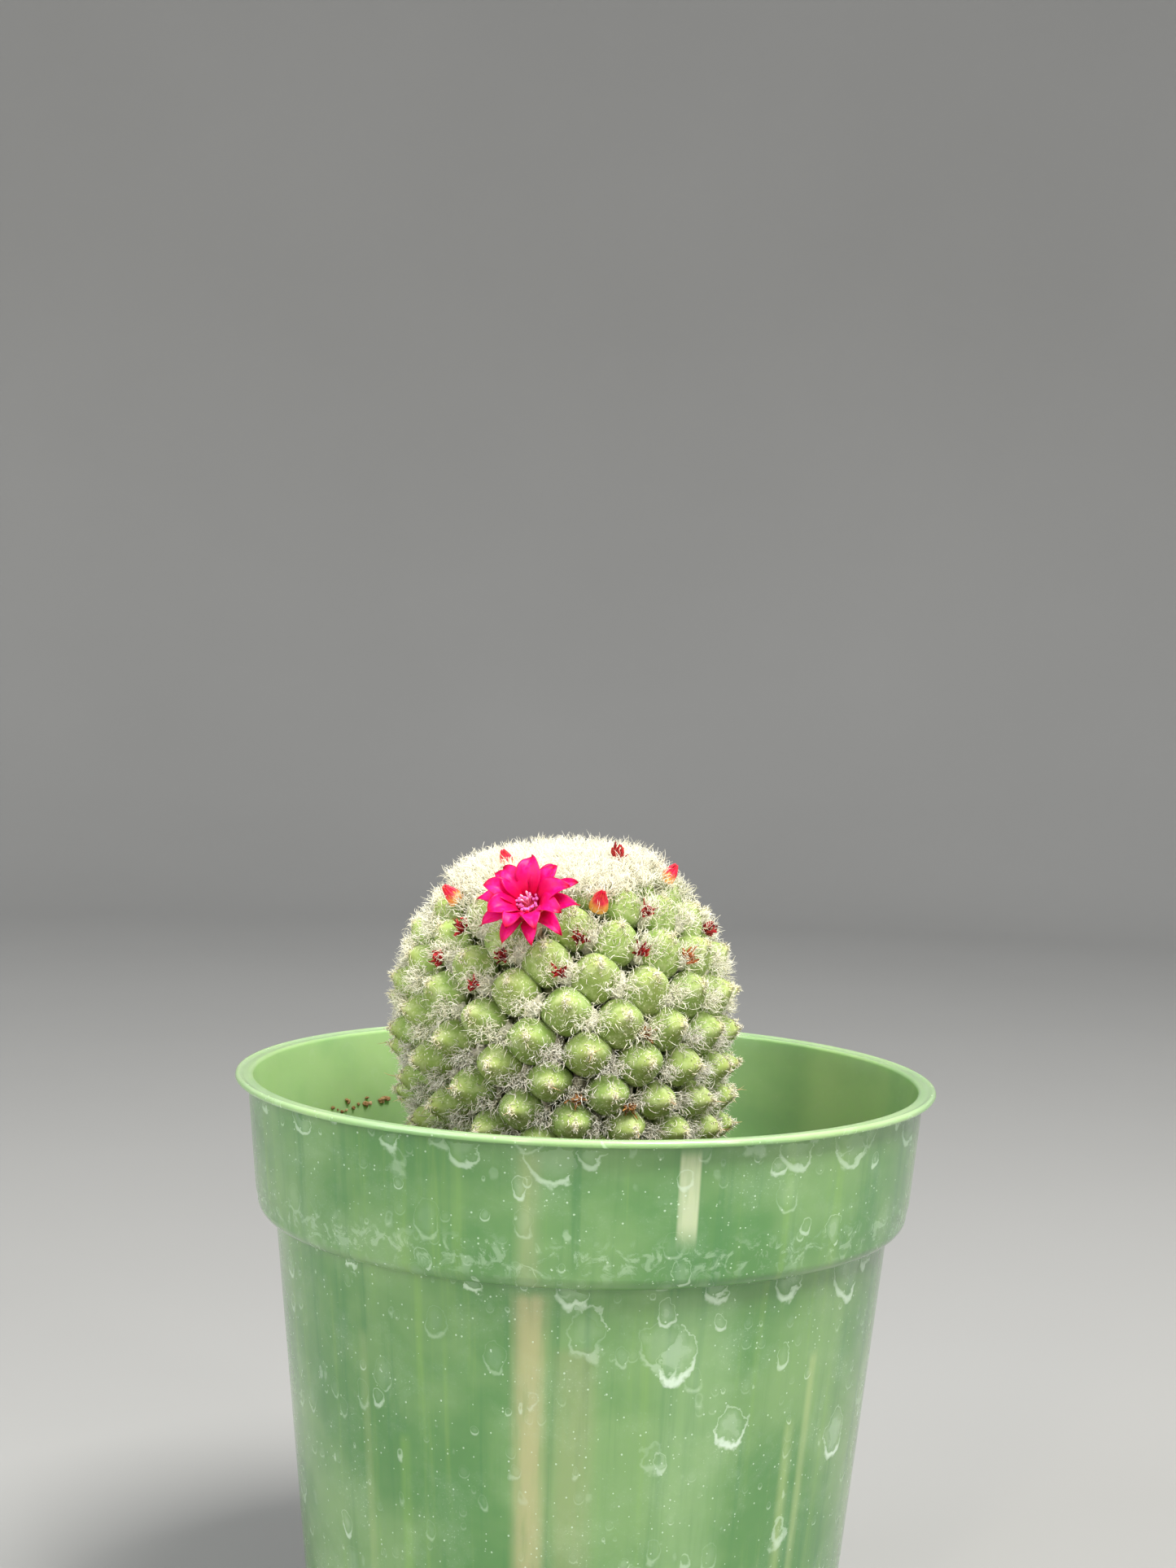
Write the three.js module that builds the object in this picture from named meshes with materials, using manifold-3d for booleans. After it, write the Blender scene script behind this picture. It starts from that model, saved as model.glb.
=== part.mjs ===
// A flowering round cactus in a plastic nursery pot.
// Millimetres, +Z up, origin at the centre of the pot's flat base.

import * as THREE from 'three';
import { mergeVertices } from 'three/addons/utils/BufferGeometryUtils.js';
import Module from 'manifold-3d';

const wasm = await Module();
wasm.setup();

// ---------------------------------------------------------------- driving dimensions

const clearance = 0.3; // left between any two pieces that touch

// pot
const potHeight = 105;
const rimRadius = 57; // outer edge of the rim flange
const flangeWidth = 2.9;
const flangeThickness = 1.1;
const wall = 0.85;
const collarHeight = 22.5; // from the top of the pot down to the step
const collarTaper = THREE.MathUtils.degToRad(5.4);
const collarStep = 2.9; // how far the collar stands out from the body
const collarRound = 2.4;
const bodyTaper = THREE.MathUtils.degToRad(6.1);
const baseRound = 1.8;
const drainHoles = 6;
const drainRadius = 3.2;
const drainInset = 8.5; // hole centre to the edge of the base
const potSegments = 60;
const drainSegments = 12;
const innerRoundStart = { collar: -20, base: -10 }; // degrees; the straight wall above takes up the rest

// soil
const soilBelowRim = 25;
const soilSegments = 30;

// stem: an upright body of revolution, rounder above its widest level than below it
const stemRadius = 28.8; // out to the tips of the tubercles
const equatorHeight = 36; // above the soil
const crownRise = 28; // widest level to the topmost tips
const footDepth = 59; // the lower half's long half-axis
const tubercleLength = 7.4;
const crownTubercleLength = 4.2;
const tubercleFill = 0.42; // radius of a tubercle as a share of the spacing between them
const stemLean = new THREE.Vector2(-4.2, -7.6); // degrees towards +X and +Y
const stemOffset = new THREE.Vector2(-1.3, 2.3); // stem foot from the pot's axis
const rootDepth = 23;
const rootTipRadius = 3;
const coreSegments = 16;

// spiral of the tubercles, counted from the crown down
const turnPerTubercle = 137.472; // degrees, close to the golden angle
const firstAzimuth = 231.57;
const youngPitch = 0.812; // height step of a young tubercle
const pitchLoss = 0.00389; // less height for each older one
const oldPitch = 0.3;
const crowding = 56; // how many young ones are still packed at the crown
const tubercleUplift = 0.3; // how much the tubercles turn upward
const tubercleSides = 6;
const tubercleShape = { foot: 0.6, widestBelowTip: 0.34 }; // shares of its radius and of its length
const tubercleSoilMargin = 1.5; // tip to soil, in tubercle radii; the ones below are left out
const coreSteps = 5;
const rootShoulder = { radius: 0.72, depth: 0.45 }; // shares of the foot's radius and of the root's depth

// wool over the crown
const woolDepth = 2; // over the topmost tips
const woolEdge = 0.9; // how far it stands out at its lower edge
const woolReach = 0.86; // share of the crown's rise that stays free of it
const woolSegments = 24;
const buriedInWool = 14; // the youngest tubercles, wholly hidden in it

// flower
const flowerSite = { tubercle: 42, across: 3.6, up: 1.2 };
const flowerStand = 2.4; // receptacle above the tips around it
const receptacleRadius = 2.1;
const tubeFootRadius = 0.9;
const tubeFlare = 2.6; // length of the widening top
const petalThickness = 0.32;
const tubeThroat = { radius: 1.25, below: 1 }; // share of its foot's radius, and mm below the flare
const tubeShoulder = { radius: 0.86, below: 0.35 }; // shares of the receptacle's radius and of the flare
const petalStations = [0, 0.22, 0.48, 0.7, 0.88]; // along a petal, which ends in a point at 1
const petalWaist = 0.35; // how far the second station's width is from the foot's to the full one
const petalShoulders = [0.84, 0.42]; // widths of the last two stations, as shares of the full width
const innerPetals = {
  count: 8, turn: 0, length: 5.7, width: 2.3, footWidth: 0.95, footRadius: 1.75, footLift: 0.3,
  from: 22, to: 78, // degrees away from the flower's axis
};
const outerPetals = {
  count: 8, turn: 0.5, length: 5.1, width: 2.2, footWidth: 1.15, footRadius: 2.65, footLift: -0.7,
  from: 50, to: 98,
};
const stamenCount = 10;
const stamenRing = 0.95; // radius of the ring they stand on
const stamenRingWidth = 0.6;
const stamenRadius = 0.13;
const stamenLength = 1.9;
const stamenSplays = [0.12, 0.35]; // outward for each step up, one stamen after the other
const filamentTaper = 0.7;
const antherRadius = 0.24;
const styleRadius = 0.22;
const styleLength = 2.9;
const stigmaRadius = 0.5;
const stigmaShape = { side: 0.3, rim: 0.7, hollow: 0.4 }; // shares of its radius

// what stands in the axils above the tubercles: tubercle number, then mm across and up from its tip
const budSites = [
  { tubercle: 45, across: -2.9, up: 2.6, radius: 1.6, stand: 1.6 },
  { tubercle: 47, across: -2.2, up: 3.9, radius: 1.3, stand: 1.3 },
  { tubercle: 26, across: 0.2, up: 2.2, radius: 1.2, stand: 2.4 },
  { tubercle: 48, across: 0, up: 4.4, radius: 1.2, stand: 1.2 },
];
const driedSites = [
  { tubercle: 27, across: -0.8, up: 2.2, radius: 1.25, stand: 0.9 },
  { tubercle: 55, across: -3.4, up: 4.1, radius: 0.95, stand: -1.6 },
  { tubercle: 63, across: -1.4, up: 3.9, radius: 1.1, stand: -1.4 },
  { tubercle: 58, across: -2.3, up: 4.3, radius: 1.15, stand: -1.4 },
  { tubercle: 71, across: -0.6, up: 4.7, radius: 1.15, stand: -1.4 },
  { tubercle: 66, across: -1, up: 4.3, radius: 1.2, stand: -1.4 },
  { tubercle: 53, across: -1, up: 4.4, radius: 0.9, stand: -1.4 },
  { tubercle: 74, across: -0.6, up: 4.5, radius: 1.1, stand: -1.5 },
  { tubercle: 76, across: 0, up: 4.5, radius: 1.1, stand: -1.6 },
  { tubercle: 68, across: -0.1, up: 4.3, radius: 1, stand: -1.6 },
  { tubercle: 69, across: -2.2, up: 4.5, radius: 0.9, stand: -1.6 },
  { tubercle: 100, across: 0.3, up: 4.5, radius: 0.95, stand: -2 },
  { tubercle: 126, across: 0.6, up: 3.6, radius: 1.05, stand: -2 },
  { tubercle: 134, across: 0, up: 3.4, radius: 0.95, stand: -2 },
];
const stalkSink = 0.5; // every stalk's foot is let into the stem by this much
const stalkShare = 0.6; // stalk thickness as a share of its head
const budLength = 4.6;
const driedLength = 2.4;
const headSides = 8;
const headShape = { widest: 0.62, shoulder: 0.3, shoulderRadius: 0.8 }; // shares of its length and radius
const driedMouth = { radius: 0.55, hollow: 0.15 }; // shares of the head's radius and length

// ---------------------------------------------------------------- solids and booleans

const toSolid = (geometry) => {
  const bare = geometry.index ? geometry.toNonIndexed() : geometry.clone();
  for (const name of Object.keys(bare.attributes)) {
    if (name !== 'position') bare.deleteAttribute(name);
  }
  const merged = mergeVertices(bare, 1e-4);
  const corners = Array.from(merged.index.array);
  const kept = [];
  for (let i = 0; i < corners.length; i += 3) {
    const [a, b, c] = corners.slice(i, i + 3);
    if (a !== b && b !== c && c !== a) kept.push(a, b, c);
  }
  return new wasm.Manifold(new wasm.Mesh({
    numProp: 3,
    vertProperties: new Float32Array(merged.attributes.position.array),
    triVerts: new Uint32Array(kept),
  }));
};

const toGeometry = (solid) => {
  const mesh = solid.getMesh();
  const geometry = new THREE.BufferGeometry();
  geometry.setAttribute('position', new THREE.BufferAttribute(new Float32Array(mesh.vertProperties), 3));
  geometry.setIndex(Array.from(mesh.triVerts));
  geometry.computeVertexNormals();
  return geometry;
};

const joined = (solids) => {
  let layer = solids;
  while (layer.length > 1) {
    const next = [];
    for (let i = 0; i < layer.length; i += 2) {
      next.push(i + 1 < layer.length ? layer[i].add(layer[i + 1]) : layer[i]);
    }
    layer = next;
  }
  return layer[0];
};

// a profile of [radius, height] points turned about +Z, listed from bottom to top on the outside
const turned = (profile, sides) => {
  const points = profile.map(([radius, height]) => new THREE.Vector2(radius, height));
  const geometry = new THREE.LatheGeometry(points, sides);
  geometry.rotateX(Math.PI / 2);
  return geometry;
};

const arc = (centreRadius, centreHeight, radius, fromDegrees, toDegrees, steps) => {
  const points = [];
  for (let i = 0; i <= steps; i++) {
    const angle = THREE.MathUtils.degToRad(fromDegrees + ((toDegrees - fromDegrees) * i) / steps);
    points.push([centreRadius + radius * Math.cos(angle), centreHeight + radius * Math.sin(angle)]);
  }
  return points;
};

// ---------------------------------------------------------------- pot

const stepHeight = potHeight - collarHeight;
const collarTop = potHeight - flangeThickness;
const collarTopRadius = rimRadius - flangeWidth + wall;
const collarFootRadius = collarTopRadius - (collarTop - stepHeight) * Math.tan(collarTaper);
const bodyTopRadius = collarFootRadius - collarStep;
const baseRadius = bodyTopRadius - stepHeight * Math.tan(bodyTaper);
const bodyRadiusAt = (height) => baseRadius + height * Math.tan(bodyTaper);
const innerRadiusAt = (height) => {
  if (height < stepHeight + wall) return bodyRadiusAt(height) - wall;
  return collarFootRadius - wall + (height - stepHeight) * Math.tan(collarTaper);
};

const buildPot = () => {
  const taper = THREE.MathUtils.radToDeg(collarTaper);
  const lip = flangeThickness / 2;
  const innerCollarRadius = collarFootRadius - wall - collarRound;
  const ledgeRoundHeight = stepHeight + wall + collarRound;
  const outside = [
    [0, 0],
    ...arc(baseRadius - baseRound, baseRound, baseRound, -90, 0, 3),
    [bodyRadiusAt(stepHeight), stepHeight],
    ...arc(collarFootRadius - collarRound, stepHeight + collarRound, collarRound, -90, taper / 2, 4),
    [collarTopRadius, collarTop],
    ...arc(rimRadius - lip, potHeight - lip, lip, -90, 90, 4),
  ];
  const inside = [
    ...arc(collarTopRadius - wall - lip, potHeight - lip, lip, 90, 0, 2),
    [innerRadiusAt(ledgeRoundHeight), ledgeRoundHeight],
    ...arc(innerCollarRadius, ledgeRoundHeight, collarRound, innerRoundStart.collar, -90, 2),
    [bodyRadiusAt(stepHeight) - wall, stepHeight + wall - clearance],
    ...arc(baseRadius - baseRound, baseRound + wall / 2, baseRound - wall / 2, innerRoundStart.base, -90, 2),
    [0, wall],
  ];
  let pot = toSolid(turned([...outside, ...inside], potSegments));
  for (let i = 0; i < drainHoles; i++) {
    const drill = new THREE.CylinderGeometry(drainRadius, drainRadius, wall * 6, drainSegments);
    drill.rotateX(Math.PI / 2);
    drill.translate(baseRadius - drainInset, 0, wall);
    drill.rotateZ((i * 2 * Math.PI) / drainHoles);
    pot = pot.subtract(toSolid(drill));
  }
  return toGeometry(pot);
};

// ---------------------------------------------------------------- stem frame and outline

const soilTop = potHeight - soilBelowRim;
const leanSines = stemLean.clone().multiplyScalar(Math.PI / 180);
const stemUp = new THREE.Vector3(Math.sin(leanSines.x), Math.sin(leanSines.y), 0);
stemUp.z = Math.sqrt(1 - stemUp.x ** 2 - stemUp.y ** 2);
const stemRight = new THREE.Vector3(1, 0, -stemUp.x / stemUp.z).normalize();
const stemBack = new THREE.Vector3().crossVectors(stemUp, stemRight);
const stemFrame = new THREE.Matrix4().makeBasis(stemRight, stemBack, stemUp);
stemFrame.setPosition(stemOffset.x, stemOffset.y, soilTop);

// radius of the outline that runs `inset` inside the tips, at a height above the soil
const outlineRadius = (height, inset = 0, topInset = inset) => {
  const above = height > equatorHeight;
  const halfAxis = above ? crownRise - topInset : footDepth - inset;
  const share = (height - equatorHeight) / halfAxis;
  return (stemRadius - inset) * Math.sqrt(Math.max(0, 1 - share * share));
};

const outlineNormal = (height) => {
  const halfAxis = height > equatorHeight ? crownRise : footDepth;
  const radial = outlineRadius(height) / stemRadius ** 2;
  const axial = (height - equatorHeight) / halfAxis ** 2;
  return new THREE.Vector2(radial, axial).normalize();
};

// heights and radii of all tubercles, from the crown down to the soil
const tipHeights = [];
const tubercleRadii = [];
for (let height = equatorHeight + crownRise; height > 0; ) {
  const index = tipHeights.length;
  const settled = 1 - Math.exp(-(index + 0.5) / crowding);
  const pitch = Math.max(oldPitch, youngPitch - pitchLoss * index) * settled;
  tipHeights.push(height);
  tubercleRadii.push(tubercleFill * Math.sqrt(2 * Math.PI * stemRadius * pitch));
  height -= pitch;
}

const azimuthOf = (index) => THREE.MathUtils.degToRad(firstAzimuth + index * turnPerTubercle);

// a spot on the tips' outline, with its outward direction, in the stem's frame
const spotAt = (azimuth, height) => {
  const normal = outlineNormal(height);
  const radius = outlineRadius(height);
  return {
    point: new THREE.Vector3(radius * Math.cos(azimuth), radius * Math.sin(azimuth), height),
    outward: new THREE.Vector3(normal.x * Math.cos(azimuth), normal.x * Math.sin(azimuth), normal.y),
  };
};

const spotOf = (site) => {
  const height = tipHeights[site.tubercle] + site.up;
  const azimuth = azimuthOf(site.tubercle) + site.across / outlineRadius(height);
  return spotAt(azimuth, height);
};

// a tubercle is shorter towards the crown, where it is young
const lengthAt = (height) => {
  const climb = THREE.MathUtils.clamp((height - equatorHeight) / crownRise, 0, 1);
  return THREE.MathUtils.lerp(tubercleLength, crownTubercleLength, climb * climb);
};

const upright = new THREE.Vector3(0, 0, 1);
const placeOn = (geometry, point, direction) => {
  geometry.applyQuaternion(new THREE.Quaternion().setFromUnitVectors(upright, direction));
  geometry.translate(point.x, point.y, point.z);
  return geometry;
};

// ---------------------------------------------------------------- stem

const tubercleDirection = (outward) => outward.clone().addScaledVector(upright, tubercleUplift).normalize();

const buildTubercle = (index) => {
  const height = tipHeights[index];
  const { point, outward } = spotAt(azimuthOf(index), height);
  const direction = tubercleDirection(outward);
  const radius = tubercleRadii[index];
  const length = lengthAt(height) + radius / 2;
  const profile = [
    [0, -length],
    [radius * tubercleShape.foot, -length],
    [radius, -length * tubercleShape.widestBelowTip],
    [0, 0],
  ];
  return toSolid(placeOn(turned(profile, tubercleSides), point, direction));
};

const coreProfile = (grow) => {
  const profile = [[0, -rootDepth - grow]];
  profile.push([rootTipRadius + grow, -rootDepth - grow]);
  const footRadius = outlineRadius(0, tubercleLength);
  profile.push([footRadius * rootShoulder.radius + grow, -rootDepth * rootShoulder.depth]);
  const coreTop = equatorHeight + crownRise - crownTubercleLength;
  for (let i = 0; i < coreSteps; i++) {
    const height = coreTop * Math.sin((i / coreSteps) * (Math.PI / 2));
    profile.push([outlineRadius(height, tubercleLength, crownTubercleLength) + grow, height]);
  }
  profile.push([0, coreTop + grow]);
  return profile;
};

const clearOfSoil = (index) => {
  const { point } = spotAt(azimuthOf(index), tipHeights[index]);
  return point.applyMatrix4(stemFrame).z > soilTop + tubercleRadii[index] * tubercleSoilMargin;
};

const tubercleIndexes = tipHeights.map((_, index) => index).slice(buriedInWool).filter(clearOfSoil);

// ---------------------------------------------------------------- things in the axils

// a stalk let into the stem, with a head on it; `grow` widens it all round for its socket
const axilProfile = (site, headLength, tipRadius, grow) => {
  const below = lengthAt(tipHeights[site.tubercle] + site.up) + stalkSink + site.stand;
  const stalk = site.radius * stalkShare + grow;
  const profile = [
    [0, -below - grow],
    [stalk, -below - grow],
    [stalk, -headLength],
    [site.radius + grow, -headLength * headShape.widest],
    [site.radius * headShape.shoulderRadius + grow, -headLength * headShape.shoulder],
  ];
  if (tipRadius > 0) profile.push([tipRadius + grow, 0]);
  profile.push([0, tipRadius > 0 ? -headLength * driedMouth.hollow + grow * 2 : grow]);
  return profile;
};

const placeInAxil = (geometry, site) => {
  const { point, outward } = spotOf(site);
  return placeOn(geometry, point.addScaledVector(outward, site.stand), outward);
};

const budGeometry = (site, grow) => {
  const profile = axilProfile(site, budLength, 0, grow);
  return placeInAxil(turned(profile, headSides), site);
};

const driedGeometry = (site, grow) => {
  const profile = axilProfile(site, driedLength, site.radius * driedMouth.radius, grow);
  return placeInAxil(turned(profile, headSides), site);
};

// ---------------------------------------------------------------- flower

const flower = { ...flowerSite, stand: flowerStand, radius: receptacleRadius };

const tubeGeometry = (grow) => {
  const below = lengthAt(tipHeights[flower.tubercle] + flower.up) + stalkSink + flowerStand;
  const profile = [
    [0, -below - grow],
    [tubeFootRadius + grow, -below - grow],
    [tubeFootRadius * tubeThroat.radius + grow, -tubeFlare - tubeThroat.below],
    [receptacleRadius * tubeShoulder.radius + grow, -tubeFlare * tubeShoulder.below],
    [receptacleRadius + grow, grow],
    [0, grow],
  ];
  return placeInAxil(turned(profile, headSides + 2), flower);
};

// a pointed blade, bent along its length into an arc that opens away from the flower's axis
const petalGeometry = (whorl, index) => {
  const waist = THREE.MathUtils.lerp(whorl.footWidth, whorl.width, petalWaist);
  const nearTip = petalShoulders.map((share) => whorl.width * share);
  const widths = [whorl.footWidth, waist, whorl.width, ...nearTip];
  const outline = new THREE.Shape();
  outline.moveTo(0, -widths[0] / 2);
  for (let i = 1; i < widths.length; i++) outline.lineTo(petalStations[i], -widths[i] / 2);
  outline.lineTo(1, 0);
  for (let i = widths.length - 1; i >= 0; i--) outline.lineTo(petalStations[i], widths[i] / 2);
  const blade = new THREE.ExtrudeGeometry(outline, { depth: petalThickness, bevelEnabled: false });
  const from = THREE.MathUtils.degToRad(whorl.from);
  const bend = THREE.MathUtils.degToRad(whorl.to - whorl.from);
  const bendRadius = whorl.length / bend;
  const spots = blade.attributes.position;
  for (let i = 0; i < spots.count; i++) {
    const angle = from + spots.getX(i) * bend;
    const across = spots.getY(i);
    const inward = spots.getZ(i) + (across / whorl.width) ** 2 * petalThickness;
    const radius = bendRadius * (Math.cos(from) - Math.cos(angle)) - inward * Math.cos(angle);
    const lift = bendRadius * (Math.sin(angle) - Math.sin(from)) + inward * Math.sin(angle);
    spots.setXYZ(i, whorl.footRadius + radius, across, whorl.footLift + lift);
  }
  blade.rotateZ(((index + whorl.turn) * 2 * Math.PI) / whorl.count);
  return placeInAxil(blade, flower);
};

const stamensGeometry = () => {
  const inner = stamenRing - stamenRingWidth / 2;
  const outer = stamenRing + stamenRingWidth / 2;
  const low = clearance;
  const high = clearance * 2;
  const ring = [[inner, low], [outer, low], [outer, high], [inner, high], [inner, low]];
  const solids = [toSolid(turned(ring, stamenCount * 2))];
  for (let i = 0; i < stamenCount; i++) {
    const azimuth = ((i + 0.5) * 2 * Math.PI) / stamenCount;
    const splay = stamenSplays[i % 2];
    const outward = new THREE.Vector3(Math.cos(azimuth), Math.sin(azimuth), 0);
    const direction = outward.clone().multiplyScalar(splay).setZ(1).normalize();
    const foot = outward.clone().multiplyScalar(stamenRing).setZ((low + high) / 2);
    const topRadius = stamenRadius * filamentTaper;
    const filament = [[0, 0], [stamenRadius, 0], [topRadius, stamenLength], [0, stamenLength]];
    solids.push(toSolid(placeOn(turned(filament, 4), foot, direction)));
    const anther = new THREE.OctahedronGeometry(antherRadius);
    const top = foot.clone().addScaledVector(direction, stamenLength);
    anther.translate(top.x, top.y, top.z);
    solids.push(toSolid(anther));
  }
  return placeInAxil(toGeometry(joined(solids)), flower);
};

const stigmaGeometry = () => {
  const profile = [
    [0, clearance],
    [styleRadius, clearance],
    [styleRadius, styleLength - stigmaRadius],
    [stigmaRadius, styleLength - stigmaRadius * stigmaShape.side],
    [stigmaRadius * stigmaShape.rim, styleLength],
    [0, styleLength - stigmaRadius * stigmaShape.hollow],
  ];
  return placeInAxil(turned(profile, headSides), flower);
};

// ---------------------------------------------------------------- wool, soil and the cut stem

const woolGeometry = () => {
  const steps = 4;
  const lowest = equatorHeight + crownRise * woolReach;
  const cap = (sideways, upward) => {
    const top = equatorHeight + crownRise + upward;
    const points = [];
    for (let i = 0; i < steps; i++) {
      const height = lowest + (top - lowest) * Math.sin((i / steps) * (Math.PI / 2));
      points.push([outlineRadius(height, -sideways, -upward), height]);
    }
    points.push([0, top]);
    return points;
  };
  const shell = [...cap(clearance, clearance).reverse(), ...cap(woolEdge, woolDepth)];
  return turned(shell, woolSegments);
};

const sockets = joined([
  toSolid(tubeGeometry(clearance)),
  ...budSites.map((site) => toSolid(budGeometry(site, clearance))),
  ...driedSites.map((site) => toSolid(driedGeometry(site, clearance))),
]);

const stem = joined([toSolid(turned(coreProfile(0), coreSegments)), ...tubercleIndexes.map(buildTubercle)]);

const buildSoil = () => {
  const levels = [wall + clearance, baseRound + wall, soilTop];
  const profile = [[0, levels[0]]];
  profile.push([innerRadiusAt(levels[0]) - clearance - baseRound, levels[0]]);
  profile.push([innerRadiusAt(levels[1]) - clearance, levels[1]]);
  profile.push([innerRadiusAt(levels[2]) - clearance, levels[2]]);
  profile.push([0, levels[2]]);
  const buried = turned(coreProfile(clearance), coreSegments).applyMatrix4(stemFrame);
  return toGeometry(toSolid(turned(profile, soilSegments)).subtract(toSolid(buried)));
};

// ---------------------------------------------------------------- materials and assembly

const material = (color, roughness) => new THREE.MeshStandardMaterial({ color, roughness });

const looks = {
  pot: material(0x5f9b6c, 0.32),
  soil: material(0x4b3526, 0.95),
  stem: material(0x76a35a, 0.6),
  wool: material(0xf4f1e2, 1),
  tube: material(0xf2b7ae, 0.6),
  petal: material(0xe3106f, 0.45),
  stamens: material(0xe06ab4, 0.6),
  stigma: material(0xf09ac8, 0.6),
  bud: material(0xe8344a, 0.5),
  dried: material(0x8a2a22, 0.85),
};

const cactus = new THREE.Group();
const plant = new THREE.Group();
plant.applyMatrix4(stemFrame);
cactus.add(plant);

const addPiece = (parent, name, geometry, look) => {
  const mesh = new THREE.Mesh(geometry, look);
  mesh.name = name;
  parent.add(mesh);
};

const numbered = (kind, index) => `${kind}_${String(index + 1).padStart(2, '0')}`;

addPiece(cactus, 'pot', buildPot(), looks.pot);
addPiece(cactus, 'soil', buildSoil(), looks.soil);
addPiece(plant, 'cactus_stem', toGeometry(stem.subtract(sockets)), looks.stem);
addPiece(plant, 'crown_wool', toGeometry(toSolid(woolGeometry()).subtract(sockets)), looks.wool);
addPiece(plant, 'flower_tube', tubeGeometry(0), looks.tube);
for (let i = 0; i < innerPetals.count; i++) {
  addPiece(plant, numbered('inner_petal', i), petalGeometry(innerPetals, i), looks.petal);
}
for (let i = 0; i < outerPetals.count; i++) {
  addPiece(plant, numbered('outer_petal', i), petalGeometry(outerPetals, i), looks.petal);
}
addPiece(plant, 'flower_stamens', stamensGeometry(), looks.stamens);
addPiece(plant, 'flower_stigma', stigmaGeometry(), looks.stigma);
budSites.forEach((site, i) => addPiece(plant, numbered('bud', i), budGeometry(site, 0), looks.bud));
driedSites.forEach((site, i) => {
  addPiece(plant, numbered('dried_flower', i), driedGeometry(site, 0), looks.dried);
});

export default cactus;
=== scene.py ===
# %% [markdown]
# A flowering round cactus in a plastic nursery pot, built as a lesson in mesh code.
# The solid model is already fixed: it says where the pot, the soil, the stem and each part
# of the flower are. Here every one of them gets the surface that the eye expects: moulded
# plastic with dried water marks, plump green tubercles, curly wool, silky petals.
# First the fixed frame is loaded.

# %% Load the fixed frame
import math

import bpy
import numpy as np
from mathutils import Matrix, Vector


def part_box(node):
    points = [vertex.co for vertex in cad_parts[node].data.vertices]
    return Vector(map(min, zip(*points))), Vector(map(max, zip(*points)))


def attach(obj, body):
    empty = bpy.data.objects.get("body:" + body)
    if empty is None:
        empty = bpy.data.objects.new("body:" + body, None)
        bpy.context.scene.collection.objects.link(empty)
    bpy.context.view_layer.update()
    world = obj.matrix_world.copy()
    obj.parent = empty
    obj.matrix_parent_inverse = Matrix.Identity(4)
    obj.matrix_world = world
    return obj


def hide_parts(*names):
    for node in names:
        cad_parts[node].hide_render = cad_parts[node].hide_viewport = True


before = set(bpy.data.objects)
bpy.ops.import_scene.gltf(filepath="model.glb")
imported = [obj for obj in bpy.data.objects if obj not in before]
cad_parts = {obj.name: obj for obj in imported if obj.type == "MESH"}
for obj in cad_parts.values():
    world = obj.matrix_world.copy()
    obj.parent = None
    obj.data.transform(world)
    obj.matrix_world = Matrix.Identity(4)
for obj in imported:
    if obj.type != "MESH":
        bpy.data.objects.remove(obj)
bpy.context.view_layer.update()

# %% [markdown]
# Nearly all pieces of this plant are grids of points: turned shapes, bent blades, rows of
# hairs. One helper turns an array of points and a list of faces into a Blender mesh, in
# millimetres, because a cactus is easier to think about in millimetres than in metres.
# It also stores named values on the points, which the materials read later.

# %% Helpers that make meshes
MM = 0.001


def unit(vectors):
    """The same directions with length one."""
    return vectors / np.maximum(np.linalg.norm(vectors, axis=-1, keepdims=True), 1e-12)


def new_piece(name, points_mm, faces, values=None, smooth=True):
    """A mesh object from points in millimetres, faces as index rows, and named values per point."""
    corners = np.concatenate([np.asarray(block).ravel() for block in faces])
    sizes = np.concatenate([np.full(len(block), np.asarray(block).shape[1]) for block in faces])
    mesh = bpy.data.meshes.new(name)
    mesh.vertices.add(len(points_mm))
    mesh.vertices.foreach_set("co", (np.asarray(points_mm) * MM).astype(np.float32).ravel())
    mesh.loops.add(len(corners))
    mesh.loops.foreach_set("vertex_index", corners.astype(np.int32))
    mesh.polygons.add(len(sizes))
    mesh.polygons.foreach_set("loop_start", (np.cumsum(sizes) - sizes).astype(np.int32))
    mesh.update(calc_edges=True)
    mesh.validate()
    mesh.polygons.foreach_set("use_smooth", np.full(len(mesh.polygons), smooth))
    for label, numbers in (values or {}).items():
        layer = mesh.attributes.new(label, "FLOAT", "POINT")
        layer.data.foreach_set("value", np.asarray(numbers, dtype=np.float32))
    piece = bpy.data.objects.new(name, mesh)
    bpy.context.scene.collection.objects.link(piece)
    return piece


def grid_faces(rows, columns, wrap=False, start=0):
    """Quads of a grid of points stored row by row; wrap joins the last column to the first."""
    across = columns if wrap else columns - 1
    r, c = np.meshgrid(np.arange(rows - 1), np.arange(across), indexing="ij")
    n = (c + 1) % columns
    quads = np.stack([r * columns + c, r * columns + n, (r + 1) * columns + n, (r + 1) * columns + c], -1)
    return quads.reshape(-1, 4) + start


def end_faces(rows, columns, start=0):
    """The two flat ends of a turned grid, as one face each."""
    ring = np.arange(columns) + start
    return [ring[None, ::-1], ring[None] + (rows - 1) * columns]


def closed_grids(rows, columns, starts):
    """Faces of turned grids, closed at both ends; starts are the indices of their first points."""
    faces = [grid_faces(rows, columns, wrap=True, start=start) for start in starts]
    return faces + [end for start in starts for end in end_faces(rows, columns, start)]


def store_map(piece, places):
    """Give a piece a second map of its surface, from two shares for each of its points."""
    corner_points = np.zeros(len(piece.data.loops), dtype=np.int32)
    piece.data.loops.foreach_get("vertex_index", corner_points)
    layer = piece.data.uv_layers.new(name="OFBake")
    layer.data.foreach_set("uv", places[corner_points].astype(np.float32).ravel())


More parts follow.
